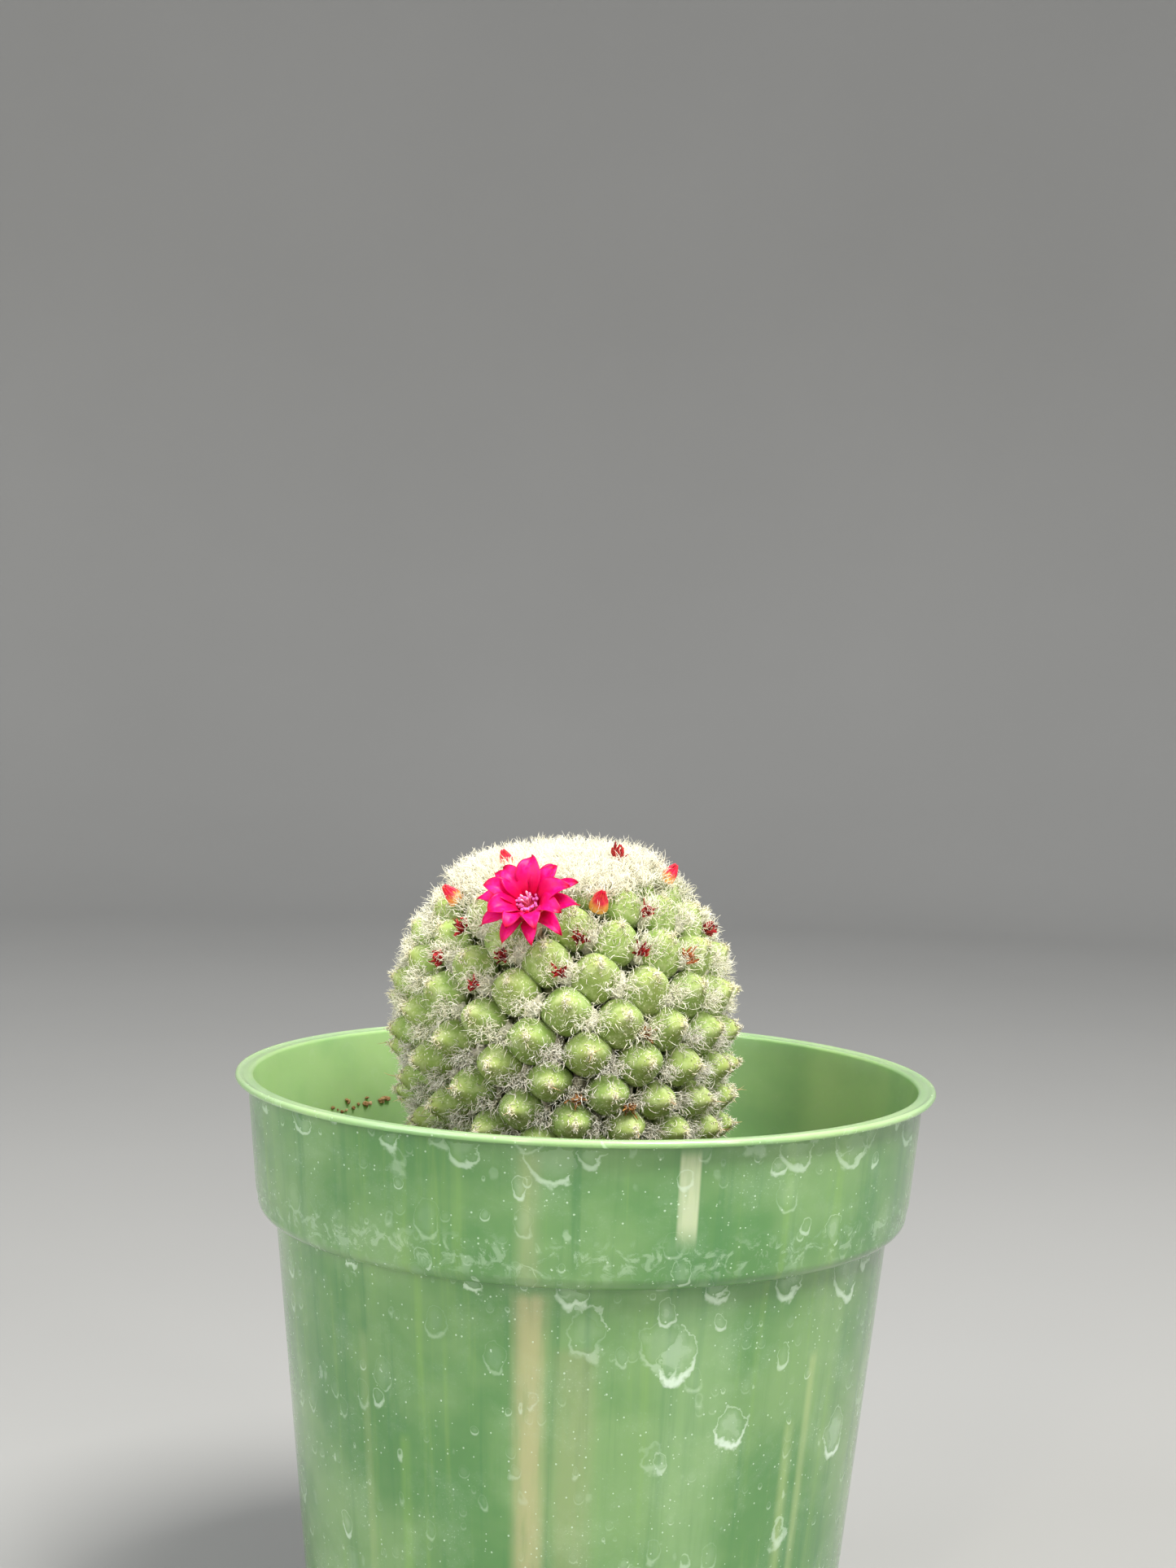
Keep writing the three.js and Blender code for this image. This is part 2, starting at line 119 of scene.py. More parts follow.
def on_map(share, margin=0.001):
    """A share from 0 to 1, kept a little away from the borders of the map."""
    return margin + (1 - 2 * margin) * share


def ease(value, low, high):
    """0 below low, 1 above high, and a smooth step between."""
    share = np.clip((value - low) / (high - low), 0, 1)
    return share * share * (3 - 2 * share)


# %% [markdown]
# The materials share a few short helpers too. A finish is one Principled shader whose
# colour, roughness and bump come from noise and cell patterns, so it has no image files.

# %% Helpers that make materials
class Finish:
    """One node material, with short calls for the patterns that all finishes use."""

    def __init__(self, name, roughness=0.5, specular=0.5):
        self.material = bpy.data.materials.new(name)
        self.material.use_nodes = True
        self.tree = self.material.node_tree
        self.shader = self.tree.nodes["Principled BSDF"]
        self.shader.inputs["Roughness"].default_value = roughness
        self.shader.inputs["Specular IOR Level"].default_value = specular

    def node(self, kind, inputs=None, **settings):
        made = self.tree.nodes.new(kind)
        for key, value in settings.items():
            setattr(made, key, value)
        for key, value in (inputs or {}).items():
            self.join(value, made.inputs[key])
        return made

    def join(self, value, socket):
        if isinstance(value, bpy.types.NodeSocket):
            self.tree.links.new(value, socket)
        else:
            socket.default_value = value

    def place(self):
        return self.node("ShaderNodeTexCoord").outputs["Object"]

    def value(self, label):
        return self.node("ShaderNodeAttribute", attribute_name=label).outputs["Fac"]

    def stretched(self, vector, scale):
        return self.node("ShaderNodeMapping", {"Vector": vector, "Scale": scale}).outputs["Vector"]

    def noise(self, vector, scale, detail=3.0, roughness=0.55, distortion=0.0):
        inputs = {"Vector": vector, "Scale": scale, "Detail": detail, "Roughness": roughness,
                  "Distortion": distortion}
        return self.node("ShaderNodeTexNoise", inputs).outputs["Fac"]

    def cells(self, vector, scale, spread=1.0):
        inputs = {"Vector": vector, "Scale": scale, "Randomness": spread}
        return self.node("ShaderNodeTexVoronoi", inputs)

    def math(self, operation, first, second=0.0, third=0.0):
        made = self.node("ShaderNodeMath", operation=operation)
        for socket, value in zip(made.inputs, (first, second, third)):
            self.join(value, socket)
        return made.outputs["Value"]

    def span(self, value, low, high, to_low=0.0, to_high=1.0):
        inputs = {"Value": value, "From Min": low, "From Max": high, "To Min": to_low, "To Max": to_high}
        return self.node("ShaderNodeMapRange", inputs, interpolation_type="SMOOTHSTEP").outputs["Result"]

    def mix(self, share, first, second):
        made = self.node("ShaderNodeMix", data_type="RGBA")
        for socket, value in ((made.inputs[0], share), (made.inputs[6], first), (made.inputs[7], second)):
            if isinstance(value, tuple):
                value = (*value, 1.0)
            self.join(value, socket)
        return made.outputs[2]

    def colour(self, value):
        self.join(value, self.shader.inputs["Base Color"])

    def rough(self, value):
        self.join(value, self.shader.inputs["Roughness"])

    def bump(self, height, distance_mm, strength=1.0):
        inputs = {"Height": height, "Distance": distance_mm * MM, "Strength": strength}
        made = self.node("ShaderNodeBump", inputs)
        self.tree.links.new(made.outputs["Normal"], self.shader.inputs["Normal"])


def dress(piece, finish, slot, *replaced):
    """Give a piece its finish, fix it to the only body, and hide the solids it stands for."""
    piece.data.materials.append(finish.material)
    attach(piece, "root")
    if replaced:
        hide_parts(*replaced)
    low = [round(min(v[i] for v in piece.bound_box) / MM, 1) for i in range(3)]
    high = [round(max(v[i] for v in piece.bound_box) / MM, 1) for i in range(3)]
    print(f"{piece.name}: {len(piece.data.polygons)} faces, from {low} to {high} mm")
    return piece


# %% [markdown]
# The camera stands a little above the rim and looks almost level, as a person does who
# bends down to a plant on a table. It is turned a touch clockwise. The floor is a wide
# pale disc whose edge sweeps up into a wall all round, so no horizon line shows from
# any side, and the room stays open above for soft light.

# %% Camera and floor
sensor_mm, lens_mm = 36.0, 49.95537
camera_place_mm = np.array([0.0, -356.2, 165.4])
camera_yaw, camera_pitch, camera_roll = (math.radians(a) for a in (-0.17, -2.1, 1.71))

forward = np.array([
    math.sin(camera_yaw) * math.cos(camera_pitch),
    math.cos(camera_yaw) * math.cos(camera_pitch),
    math.sin(camera_pitch),
])
level_right = np.array([math.cos(camera_yaw), -math.sin(camera_yaw), 0.0])
level_up = np.cross(level_right, forward)
camera_right = level_right * math.cos(camera_roll) + level_up * math.sin(camera_roll)
camera_up = -level_right * math.sin(camera_roll) + level_up * math.cos(camera_roll)

camera_data = bpy.data.cameras.new("camera")
camera_data.sensor_width, camera_data.lens = sensor_mm, lens_mm
camera_data.clip_start, camera_data.clip_end = 0.01, 20.0
camera = bpy.data.objects.new("camera", camera_data)
bpy.context.scene.collection.objects.link(camera)
turn = Matrix((camera_right, camera_up, -forward)).transposed()
camera.matrix_world = Matrix.Translation(Vector(camera_place_mm * MM)) @ turn.to_4x4()
bpy.context.scene.camera = camera


def sweep_outline(flat_mm, bend_mm, wall_mm, steps=16):
    """Radius and height along the floor, round the bend and up the wall."""
    angles = np.linspace(0, math.pi / 2, steps)
    bend = np.stack([flat_mm + bend_mm * np.sin(angles), bend_mm * (1 - np.cos(angles))], -1)
    return np.concatenate([[[0.5, 0.0], [flat_mm * 0.5, 0.0]], bend, [[flat_mm + bend_mm, wall_mm]]])


def turned_points(outline, sides):
    """Points of an outline of radius and height turned about the upright axis, row by row."""
    angles = np.arange(sides) / sides * 2 * math.pi
    radius, height = outline[:, :1], outline[:, 1:]
    return np.stack([radius * np.cos(angles), radius * np.sin(angles), height + 0 * angles], -1)


outline = sweep_outline(flat_mm=1300, bend_mm=600, wall_mm=2200)
floor_sides = 96
floor_points = turned_points(outline, floor_sides)
floor = new_piece("floor", floor_points.reshape(-1, 3),
                  [grid_faces(len(outline), floor_sides, wrap=True)])
floor_finish = Finish("pale_floor", roughness=0.75, specular=0.2)
floor_finish.colour(floor_finish.mix(floor_finish.noise(floor_finish.place(), 3.0), (0.36, 0.36, 0.355),
                                     (0.40, 0.40, 0.395)))
floor.data.materials.append(floor_finish.material)
print("camera lens, mm:", round(lens_mm, 2))

# %% [markdown]
# The light is a plain soft studio set: one large lamp high on the right, which makes the
# crown of wool glow and lights the inner wall of the pot on the far side, a weaker one on
# the left, and two tall narrow lamps behind the camera. A shiny cone-shaped wall mirrors
# those as long upright stripes, which tell the eye that the plastic is glossy.

# %% Lamps
aim_mm = Vector((0.0, 0.0, 95.0))


def lamp(name, place_mm, size_mm, watts, colour):
    """A rectangular lamp that faces the plant."""
    data = bpy.data.lights.new(name, "AREA")
    data.shape = "RECTANGLE"
    data.size, data.size_y = size_mm[0] * MM, size_mm[1] * MM
    data.energy, data.color = watts, colour
    made = bpy.data.objects.new(name, data)
    made.location = Vector(place_mm) * MM
    made.rotation_mode = "QUATERNION"
    made.rotation_quaternion = (aim_mm - Vector(place_mm)).to_track_quat("-Z", "Y")
    bpy.context.scene.collection.objects.link(made)


lamp("high_lamp", (370, -400, 1000), (420, 420), 18.5, (1.0, 0.98, 0.93))
lamp("fill_lamp", (-760, -560, 520), (600, 800), 6.5, (0.96, 0.98, 1.0))
lamp("warm_strip", (-330, -950, 260), (70, 900), 2.6, (1.0, 0.86, 0.66))
lamp("pale_strip", (700, -700, 300), (60, 900), 2.4, (1.0, 0.98, 0.92))

world = bpy.data.worlds.new("room")
world.use_nodes = True
world.node_tree.nodes["Background"].inputs["Color"].default_value = (0.95, 0.97, 1.0, 1.0)
world.node_tree.nodes["Background"].inputs["Strength"].default_value = 0.75
bpy.context.scene.world = world
bpy.context.scene.view_settings.view_transform = "Standard"

# %% [markdown]
# The pot is one thin shell of moulded plastic. On the real thing the wall is under a
# millimetre thick: a flat flange round the rim, a deep collar, a rounded step, and a body
# that tapers to the base. A turned outline is the natural way to make it, with each
# bend drawn as an arc. Its overall radius and height are read from the solid pot.

# %% The pot's outline
pot_high = np.array(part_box("pot")[1]) / MM
rim_radius, pot_height = pot_high[0], pot_high[2]
wall = 0.85
flange_width, flange_thickness = 2.9, 1.1
collar_height, collar_step, collar_round = 22.5, 2.9, 2.4
collar_slope, body_slope = math.tan(math.radians(5.4)), math.tan(math.radians(6.1))
base_round = 1.8
step_height = pot_height - collar_height
collar_top_radius = rim_radius - flange_width + wall
collar_foot_radius = collar_top_radius - (collar_height - flange_thickness) * collar_slope
body_top_radius = collar_foot_radius - collar_step
base_radius = body_top_radius - step_height * body_slope


def arc(centre, radius, start, end, steps=8):
    """Points of an arc in the outline's plane; the angles are in degrees."""
    angles = np.radians(np.linspace(start, end, steps + 1))
    return np.stack([centre[0] + radius * np.cos(angles), centre[1] + radius * np.sin(angles)], -1)


def line(start, end, steps):
    """Evenly spaced points from start up to, but not with, end."""
    share = np.arange(steps)[:, None] / steps
    return np.array(start) * (1 - share) + np.array(end) * share


lip = flange_thickness / 2
crease, inner_crease = 0.5, 0.4
flange_foot, inner_flange_foot, rim_top = pot_height - 1.6, pot_height - 1.8, pot_height - 0.22
inner_collar_top = collar_top_radius - wall
inner_collar_foot = collar_foot_radius - wall
inner_body_top = body_top_radius - wall
ledge = step_height + wall
floor_start, floor_edge = 0.4, base_radius - base_round
outside = np.concatenate([
    line((floor_start, 0), (floor_edge, 0), 8),
    arc((floor_edge, base_round), base_round, -90, 5),
    line((base_radius + base_round * body_slope, base_round), (body_top_radius, step_height), 24)[1:],
    arc((body_top_radius + crease, step_height - crease), crease, 180, 90, 4),
    arc((collar_foot_radius - collar_round, step_height + collar_round), collar_round, -90, 3),
    line((collar_foot_radius + 0.2, step_height + collar_round), (collar_top_radius, flange_foot), 10)[1:],
    arc((collar_top_radius + crease, flange_foot), crease, 180, 90, 4),
    arc((rim_radius - lip, pot_height - lip), lip, -90, 110),
])
rim_points = len(outside)
inside = np.concatenate([
    line((rim_radius - 1.1, rim_top - 0.1), (inner_collar_top + lip, rim_top), 4),
    arc((inner_collar_top + lip, rim_top - lip), lip, 90, 176, 6),
    line((inner_collar_top, inner_flange_foot), (inner_collar_foot + 0.1, ledge + collar_round), 10)[1:],
    arc((inner_collar_foot - collar_round, ledge + collar_round), collar_round, -5, -90, 6),
    arc((inner_body_top + inner_crease, ledge - inner_crease), inner_crease, 90, 180, 4),
    line((inner_body_top, ledge - 0.5), (base_radius - wall + 0.2, base_round + wall), 24)[1:],
    arc((floor_edge - wall / 2, base_round + wall), base_round, -5, -90, 6),
    line((floor_edge - wall, wall), (floor_start, wall), 8),
])
pot_outline = np.concatenate([outside, inside])
print("pot outline:", len(pot_outline), "points, base radius", round(base_radius, 1), "mm")

# %% [markdown]
# The outline is turned in small steps, so the rim looks perfectly round. A second map of
# the surface is stored with it: how far round the pot a point is, and how far along the
# outline. The water marks are drawn on that map, because drops run down a wall.
# The drain holes are cut with a Boolean modifier, and the cutters are thrown away.

# %% Turn the pot and cut its drain holes
pot_sides = 240
pot_columns = pot_sides + 1
turn_angles = np.linspace(0, 2 * math.pi, pot_columns)
pot_points = np.stack([
    pot_outline[:, :1] * np.cos(turn_angles),
    pot_outline[:, :1] * np.sin(turn_angles),
    pot_outline[:, 1:] + 0 * turn_angles,
], -1).reshape(-1, 3)
floor_middle = np.arange(pot_sides)[None]
pot_faces = [grid_faces(len(pot_outline), pot_columns), floor_middle[:, ::-1],
             floor_middle + (len(pot_outline) - 1) * pot_columns]
pot = new_piece("nursery_pot", pot_points, pot_faces)

steps_along = np.linalg.norm(np.diff(pot_outline, axis=0), axis=1)
outline_length = steps_along.sum()
share_along = np.concatenate([[0], np.cumsum(steps_along)]) / outline_length
map_points = np.stack(np.meshgrid(np.arange(pot_columns) / pot_sides, share_along), -1).reshape(-1, 2)
store_map(pot, on_map(map_points))

weld = pot.modifiers.new("weld", "WELD")
weld.merge_threshold = 1e-6
drain_holes, drain_radius, drain_inset, drain_sides = 6, 3.2, 8.5, 40
rod_outline = np.array([[drain_radius, -2 * wall], [drain_radius, 4 * wall]])
rod = turned_points(rod_outline, drain_sides).reshape(-1, 3)
cutters = []
for index in range(drain_holes):
    angle = 2 * math.pi * index / drain_holes
    centre = (base_radius - drain_inset) * np.array([math.cos(angle), math.sin(angle), 0])
    cutters.append(new_piece("drain_cutter", rod + centre, closed_grids(2, drain_sides, [0])))
    cut = pot.modifiers.new("drain", "BOOLEAN")
    cut.operation, cut.solver, cut.object = "DIFFERENCE", "EXACT", cutters[-1]
bpy.context.view_layer.update()
cut_mesh = bpy.data.meshes.new_from_object(pot.evaluated_get(bpy.context.evaluated_depsgraph_get()))
pot.modifiers.clear()
pot.data = cut_mesh
for cutter in cutters:
    bpy.data.objects.remove(cutter)

# %% [markdown]
# The plastic is a soft green, a little see-through, and glossy where it is clean. Hard
# water has dried on it many times: pale rings shaped like hanging drops, each with a
# thicker white rim at its lower end, half-round ones that hang under the rim and under
# the step, and fine white specks. Faint lighter and darker upright bands run down the
# wall, and a few tan and pale upright stripes are painted reflections of tall things
# round the pot.
# Each mark is a cell of a Voronoi pattern: the distance to the cell's middle gives the
# ring, and the height above or below the middle says where its rim is thick.

# %% Plastic with dried water marks
plastic = Finish("green_plastic", roughness=0.3, specular=0.5)
pot_map = plastic.node("ShaderNodeUVMap", uv_map="OFBake").outputs["UV"]
mean_radius = 50
circumference = 2 * math.pi * mean_radius
flat_map = plastic.stretched(pot_map, (circumference, outline_length, 1.0))
flat_axes = plastic.node("ShaderNodeSeparateXYZ", {0: flat_map})
across_mm, upward_mm = flat_axes.outputs["X"], flat_axes.outputs["Y"]
ragged = plastic.node("ShaderNodeTexNoise", {"Vector": flat_map, "Scale": 0.35, "Detail": 5.0})
wobble = plastic.node("ShaderNodeVectorMath", {0: ragged.outputs["Color"], 1: (0.5, 0.5, 0.5)},
                      operation="SUBTRACT").outputs["Vector"]


def length_to(point):
    """How far along the outer outline a point lies, in millimetres."""
    nearest = np.argmin(np.linalg.norm(pot_outline[:rim_points] - point, axis=1))
    return on_map(share_along[nearest]) * outline_length


step_length = length_to((body_top_radius, step_height))
collar_foot_length = length_to((collar_foot_radius, step_height + collar_round))
flange_length = length_to((collar_top_radius, flange_foot))
rim_length = length_to((rim_radius, pot_height - lip))
outer_side = plastic.span(upward_mm, rim_length - 1, rim_length + 2, 1.0, 0.12)


def ring_mark(distance, radius, lower_end, fill):
    """A thin ring with a thick lower end and a faint haze inside it."""
    edge = plastic.math("ABSOLUTE", plastic.math("SUBTRACT", distance, radius))
    thick = plastic.math("MULTIPLY_ADD", lower_end, 0.05, 0.016)
    ring = plastic.span(plastic.math("DIVIDE", edge, thick), 1.0, 0.1)
    ring = plastic.math("MULTIPLY", ring, plastic.math("MULTIPLY_ADD", lower_end, 0.58, 0.36))
    filled = plastic.span(plastic.math("DIVIDE", distance, radius), 1.0, 0.4, 0.0, fill)
    return plastic.math("MAXIMUM", ring, filled)


def drop_marks(spacing, tall, size_low, size_high, share, wander):
    """Rings of dried drops on the map, one in each cell of a stretched pattern."""
    moved = plastic.node("ShaderNodeVectorMath", {0: wobble, 1: (wander, wander, 0), 2: flat_map},
                         operation="MULTIPLY_ADD").outputs["Vector"]
    grid = plastic.stretched(moved, (1 / spacing, 1 / spacing / tall, 1.0))
    cell = plastic.cells(grid, 1.0, spread=0.9)
    pick = plastic.node("ShaderNodeSeparateColor", {"Color": cell.outputs["Color"]})
    radius = plastic.span(pick.outputs[0], 0, 1, size_low, size_high)
    offset = plastic.node("ShaderNodeVectorMath", {0: grid, 1: cell.outputs["Position"]},
                          operation="SUBTRACT").outputs["Vector"]
    below = plastic.node("ShaderNodeSeparateXYZ", {0: offset}).outputs["Y"]
    lower_end = plastic.span(plastic.math("DIVIDE", below, radius), 0.2, -1.0)
    mark = ring_mark(cell.outputs["Distance"], radius, lower_end, fill=0.3)
    bright = plastic.span(pick.outputs[2], 0.2, 1.0, 0.35, 1.0)
    return plastic.math("MULTIPLY", plastic.math("MULTIPLY", mark, bright),
                        plastic.math("LESS_THAN", pick.outputs[1], share))


def hanging_marks(top_length, spacing, size_low, size_high, share):
    """Half-round marks that hang from an edge, one in each stretch round the pot."""
    moved = plastic.node("ShaderNodeSeparateXYZ", {0: wobble}).outputs["X"]
    width_place = plastic.math("MULTIPLY", plastic.math("MULTIPLY_ADD", moved, 4.0, across_mm), 1 / spacing)
    cell = plastic.node("ShaderNodeTexVoronoi", {"W": width_place, "Scale": 1.0}, voronoi_dimensions="1D")
    pick = plastic.node("ShaderNodeSeparateColor", {"Color": cell.outputs["Color"]})
    drop = plastic.math("MULTIPLY", plastic.math("SUBTRACT", top_length, upward_mm), 0.85 / spacing)
    drop = plastic.math("MULTIPLY_ADD", moved, 0.35, drop)
    distance = plastic.math("SQRT", plastic.math("ADD", plastic.math("POWER", cell.outputs["Distance"], 2.0),
                                                 plastic.math("MULTIPLY", drop, drop)))
    radius = plastic.span(pick.outputs[0], 0, 1, size_low, size_high)
    lower_end = plastic.span(plastic.math("DIVIDE", drop, radius), 0.1, 1.0)
    mark = ring_mark(distance, radius, lower_end, fill=0.22)
    mark = plastic.math("MULTIPLY", mark, plastic.math("GREATER_THAN", drop, -0.02))
    return plastic.math("MULTIPLY", mark, plastic.math("LESS_THAN", pick.outputs[1], share))


large_marks = drop_marks(spacing=12.0, tall=1.3, size_low=0.08, size_high=0.28, share=0.66, wander=5.0)
small_marks = drop_marks(spacing=5.0, tall=1.45, size_low=0.10, size_high=0.38, share=0.78, wander=2.4)
tiny_marks = drop_marks(spacing=2.6, tall=1.2, size_low=0.08, size_high=0.34, share=0.5, wander=1.0)
step_drips = hanging_marks(step_length - 0.3, 11.0, 0.10, 0.46, 0.5)
rim_drips = hanging_marks(flange_length - 0.5, 9.0, 0.12, 0.5, 0.5)
crust_noise = plastic.noise(flat_map, 0.42, detail=6.0, roughness=0.65, distortion=0.8)
crust_start = plastic.span(upward_mm, collar_foot_length - 2.0, collar_foot_length + 1.0)
crust_end = plastic.span(upward_mm, collar_foot_length + 6.5, collar_foot_length + 2.5)
crust_band = plastic.math("MULTIPLY", crust_start, crust_end)
crust = plastic.math("MULTIPLY", plastic.span(crust_noise, 0.50, 0.60, 0.0, 0.22), crust_band)
haze = plastic.span(plastic.noise(flat_map, 0.09, detail=8.0, roughness=0.7, distortion=0.3), 0.45, 0.75)
speck_cells = plastic.cells(flat_map, 1.1, spread=1.0)
speck_pick = plastic.node("ShaderNodeSeparateColor", {"Color": speck_cells.outputs["Color"]}).outputs[0]
speck_size = plastic.span(speck_pick, 0.3, 1.0, 0.0, 0.17)
speck = plastic.math("LESS_THAN", speck_cells.outputs["Distance"], speck_size)
grains = plastic.span(plastic.noise(flat_map, 2.6, detail=3.0), 0.60, 0.68, 0.0, 0.35)
lime = plastic.math("MAXIMUM", large_marks, plastic.math("MULTIPLY", small_marks, 0.72))
weaker_marks = ((tiny_marks, 0.5), (speck, 0.6), (step_drips, 0.8), (rim_drips, 0.6), (crust, 1.0))
for part, strength in weaker_marks:
    lime = plastic.math("MAXIMUM", lime, plastic.math("MULTIPLY", part, strength))
lime = plastic.math("ADD", lime, plastic.math("MULTIPLY", haze, plastic.math("ADD", grains, 0.10)))
lime = plastic.math("MINIMUM", plastic.math("MULTIPLY", lime, outer_side), 1.0)

cloudy = plastic.span(plastic.noise(flat_map, 0.035, detail=4.0), 0.35, 0.65)
green = plastic.mix(cloudy, (0.092, 0.238, 0.070), (0.188, 0.335, 0.128))
runs = plastic.noise(plastic.stretched(flat_map, (0.30, 0.012, 1.0)), 1.0, detail=4.0, roughness=0.6)
green = plastic.mix(plastic.span(runs, 0.52, 0.75, 0.0, 0.45), green, (0.23, 0.40, 0.10))
green = plastic.mix(plastic.span(runs, 0.48, 0.28, 0.0, 0.45), green, (0.040, 0.17, 0.056))
patchy_stripe_breaks = plastic.noise(plastic.stretched(flat_map, (0.5, 0.05, 1.0)), 1.0, detail=3.0)
stripe_breaks = plastic.span(patchy_stripe_breaks, 0.3, 0.55)
# Painted reflections: tan and pale upright stripes in the colour stand in for tall things round the pot
# mirrored in the glossy wall.
# azimuth in degrees, half width, softness, from and to along the outline, strength, colour
body_end, collar_end = step_length - 0.5, flange_length
painted_reflection_streaks = (
    (261.8, 2.1, 3.0, 0.0, body_end, 0.62, (0.52, 0.45, 0.25)),
    (261.9, 1.3, 2.4, step_length, collar_end, 0.36, (0.44, 0.44, 0.25)),
    (269.5, 3.0, 3.4, 0.0, body_end - 8, 0.34, (0.34, 0.35, 0.18)),
    (285.9, 1.4, 0.5, collar_foot_length + 4, collar_end, 0.70, (0.62, 0.66, 0.46)),
    (291.0, 5.5, 5.0, 0.0, body_end, 0.35, (0.28, 0.44, 0.22)),
    (312.0, 1.0, 1.6, 0.0, body_end - 22, 0.40, (0.42, 0.52, 0.20)),
    (316.5, 0.8, 1.2, 0.0, body_end - 12, 0.38, (0.46, 0.55, 0.24)),
    (238.0, 0.9, 1.4, 0.0, body_end - 24, 0.30, (0.26, 0.46, 0.10)),
    (229.0, 0.8, 1.2, 0.0, body_end - 10, 0.25, (0.40, 0.50, 0.20)),
)
# Each painted reflection stripe is mixed into the green here.
for azimuth, half_width, soft, low_end, high_end, strength, tone in painted_reflection_streaks:
    middle = azimuth / 360 * circumference
    away = plastic.math("ABSOLUTE", plastic.math("SUBTRACT", across_mm, middle))
    painted_reflection_stripe = plastic.span(away, half_width + soft / 2, half_width - soft / 2, 0.0, strength)
    painted_reflection_stripe = plastic.math("MULTIPLY", painted_reflection_stripe, plastic.span(upward_mm, low_end - 1, low_end + 4))
    painted_reflection_stripe = plastic.math("MULTIPLY", painted_reflection_stripe, plastic.span(upward_mm, high_end + 0.5, high_end - 2))
    painted_reflection_stripe = plastic.math("MULTIPLY", painted_reflection_stripe, plastic.math("MULTIPLY_ADD", stripe_breaks, 0.4, 0.6))
    green = plastic.mix(painted_reflection_stripe, green, tone)
# Painted light: the inner wall is painted lighter and yellower, standing in for light that comes through the
# thin wall.
inner_wall_painted_light = plastic.span(upward_mm, rim_length - 1.5, rim_length + 0.5)
green = plastic.mix(inner_wall_painted_light, green, plastic.mix(cloudy, (0.25, 0.43, 0.185), (0.35, 0.52, 0.23)))
# Painted highlight: a pale band along the top of the rim's lip.
rim_painted_highlight = plastic.math("MULTIPLY", plastic.span(upward_mm, rim_length - 0.6, rim_length + 0.4),
                           plastic.span(upward_mm, rim_length + 3.6, rim_length + 1.2))
green = plastic.mix(plastic.math("MULTIPLY", rim_painted_highlight, 0.45), green, (0.40, 0.52, 0.34))
plastic.colour(plastic.mix(lime, green, (0.60, 0.74, 0.60)))
plastic.rough(plastic.span(lime, 0.0, 0.7, 0.20, 0.6))
plastic.bump(lime, 0.06, 0.6)
plastic.shader.inputs["Subsurface Weight"].default_value = 0.6
plastic.shader.inputs["Subsurface Radius"].default_value = (0.8, 1.0, 0.55)
plastic.shader.inputs["Subsurface Scale"].default_value = 2.5 * MM
plastic.shader.inputs["Coat Weight"].default_value = 0.4
plastic.shader.inputs["Coat Roughness"].default_value = 0.08
dress(pot, plastic, "pot", "pot")

# %% [markdown]
# The stem is a ball a little taller than wide, leaning towards the light. It carries some
# two hundred tubercles on a spiral: each one is turned by nearly the golden angle from
# the one before and sits a little lower. Repeating that one rule makes all the crossing
# spiral rows that the eye sees, so the whole plant is written with a few numbers.

# %% The stem's frame, outline and spiral
soil_top = float(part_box("soil")[1].z / MM)
stem_radius, equator_height, crown_rise, foot_depth = 28.8, 36.0, 28.0, 59.0
tubercle_length, crown_tubercle_length = 7.4, 4.2
lean = np.radians([-4.2, -7.6])
stem_foot = np.array([-1.3, 2.3, soil_top])

stem_up = np.array([math.sin(lean[0]), math.sin(lean[1]), 0.0])
stem_up[2] = math.sqrt(1 - stem_up[0] ** 2 - stem_up[1] ** 2)
stem_right = unit(np.array([1.0, 0.0, -stem_up[0] / stem_up[2]]))
stem_back = np.cross(stem_up, stem_right)
stem_axes = np.stack([stem_right, stem_back, stem_up])


def in_pot(points):
    """Points of the leaning stem's own frame, placed in the pot's frame."""
    return np.asarray(points) @ stem_axes + stem_foot


def outline_radius(height, inset=0.0, top_inset=None):
    """Radius of the stem's outline at a height, or of one that lies inside it."""
    top_inset = inset if top_inset is None else top_inset
    half_axis = np.where(height > equator_height, crown_rise - top_inset, foot_depth - inset)
    share = (height - equator_height) / half_axis
    return (stem_radius - inset) * np.sqrt(np.clip(1 - share * share, 0, None))


def outline_outward(height):
    """Direction away from the outline, as its radial and upward shares."""
    half_axis = np.where(height > equator_height, crown_rise, foot_depth)
    return unit(np.stack([outline_radius(height) / stem_radius ** 2,
                          (height - equator_height) / half_axis ** 2], -1))


turn_per_tubercle, first_azimuth = math.radians(137.472), math.radians(231.57)
young_pitch, pitch_loss, old_pitch, crowding = 0.812, 0.00389, 0.3, 56
heights, spacings = [], []
height = equator_height + crown_rise + 0.4
while height > 0:
    index = len(heights)
    pitch = max(old_pitch, young_pitch - pitch_loss * index) * (1 - math.exp(-(index + 0.5) / crowding))
    heights.append(height)
    spacings.append(math.sqrt(2 * math.pi * stem_radius * pitch))
    height -= pitch
heights, spacings = np.array(heights), np.array(spacings)
azimuths = first_azimuth + np.arange(len(heights)) * turn_per_tubercle
print("tubercles on the spiral:", len(heights))


dip_depth, dip_radius = 2.8, 11.0


def crown_dip(points):
    """The very top is pressed in a little, which makes the crown look flat and broad."""
    return dip_depth * np.exp(-(points[..., 0] ** 2 + points[..., 1] ** 2) / dip_radius ** 2)


def spots(azimuth, height):
    """Points on the tips' outline and the directions away from it."""
    outward = outline_outward(height)
    radius = outline_radius(height)
    point = np.stack([radius * np.cos(azimuth), radius * np.sin(azimuth), height + 0 * azimuth], -1)
    point[..., 2] -= crown_dip(point)
    sideways, upward = outward[..., 0], outward[..., 1]
    return point, np.stack([sideways * np.cos(azimuth), sideways * np.sin(azimuth), upward], -1)


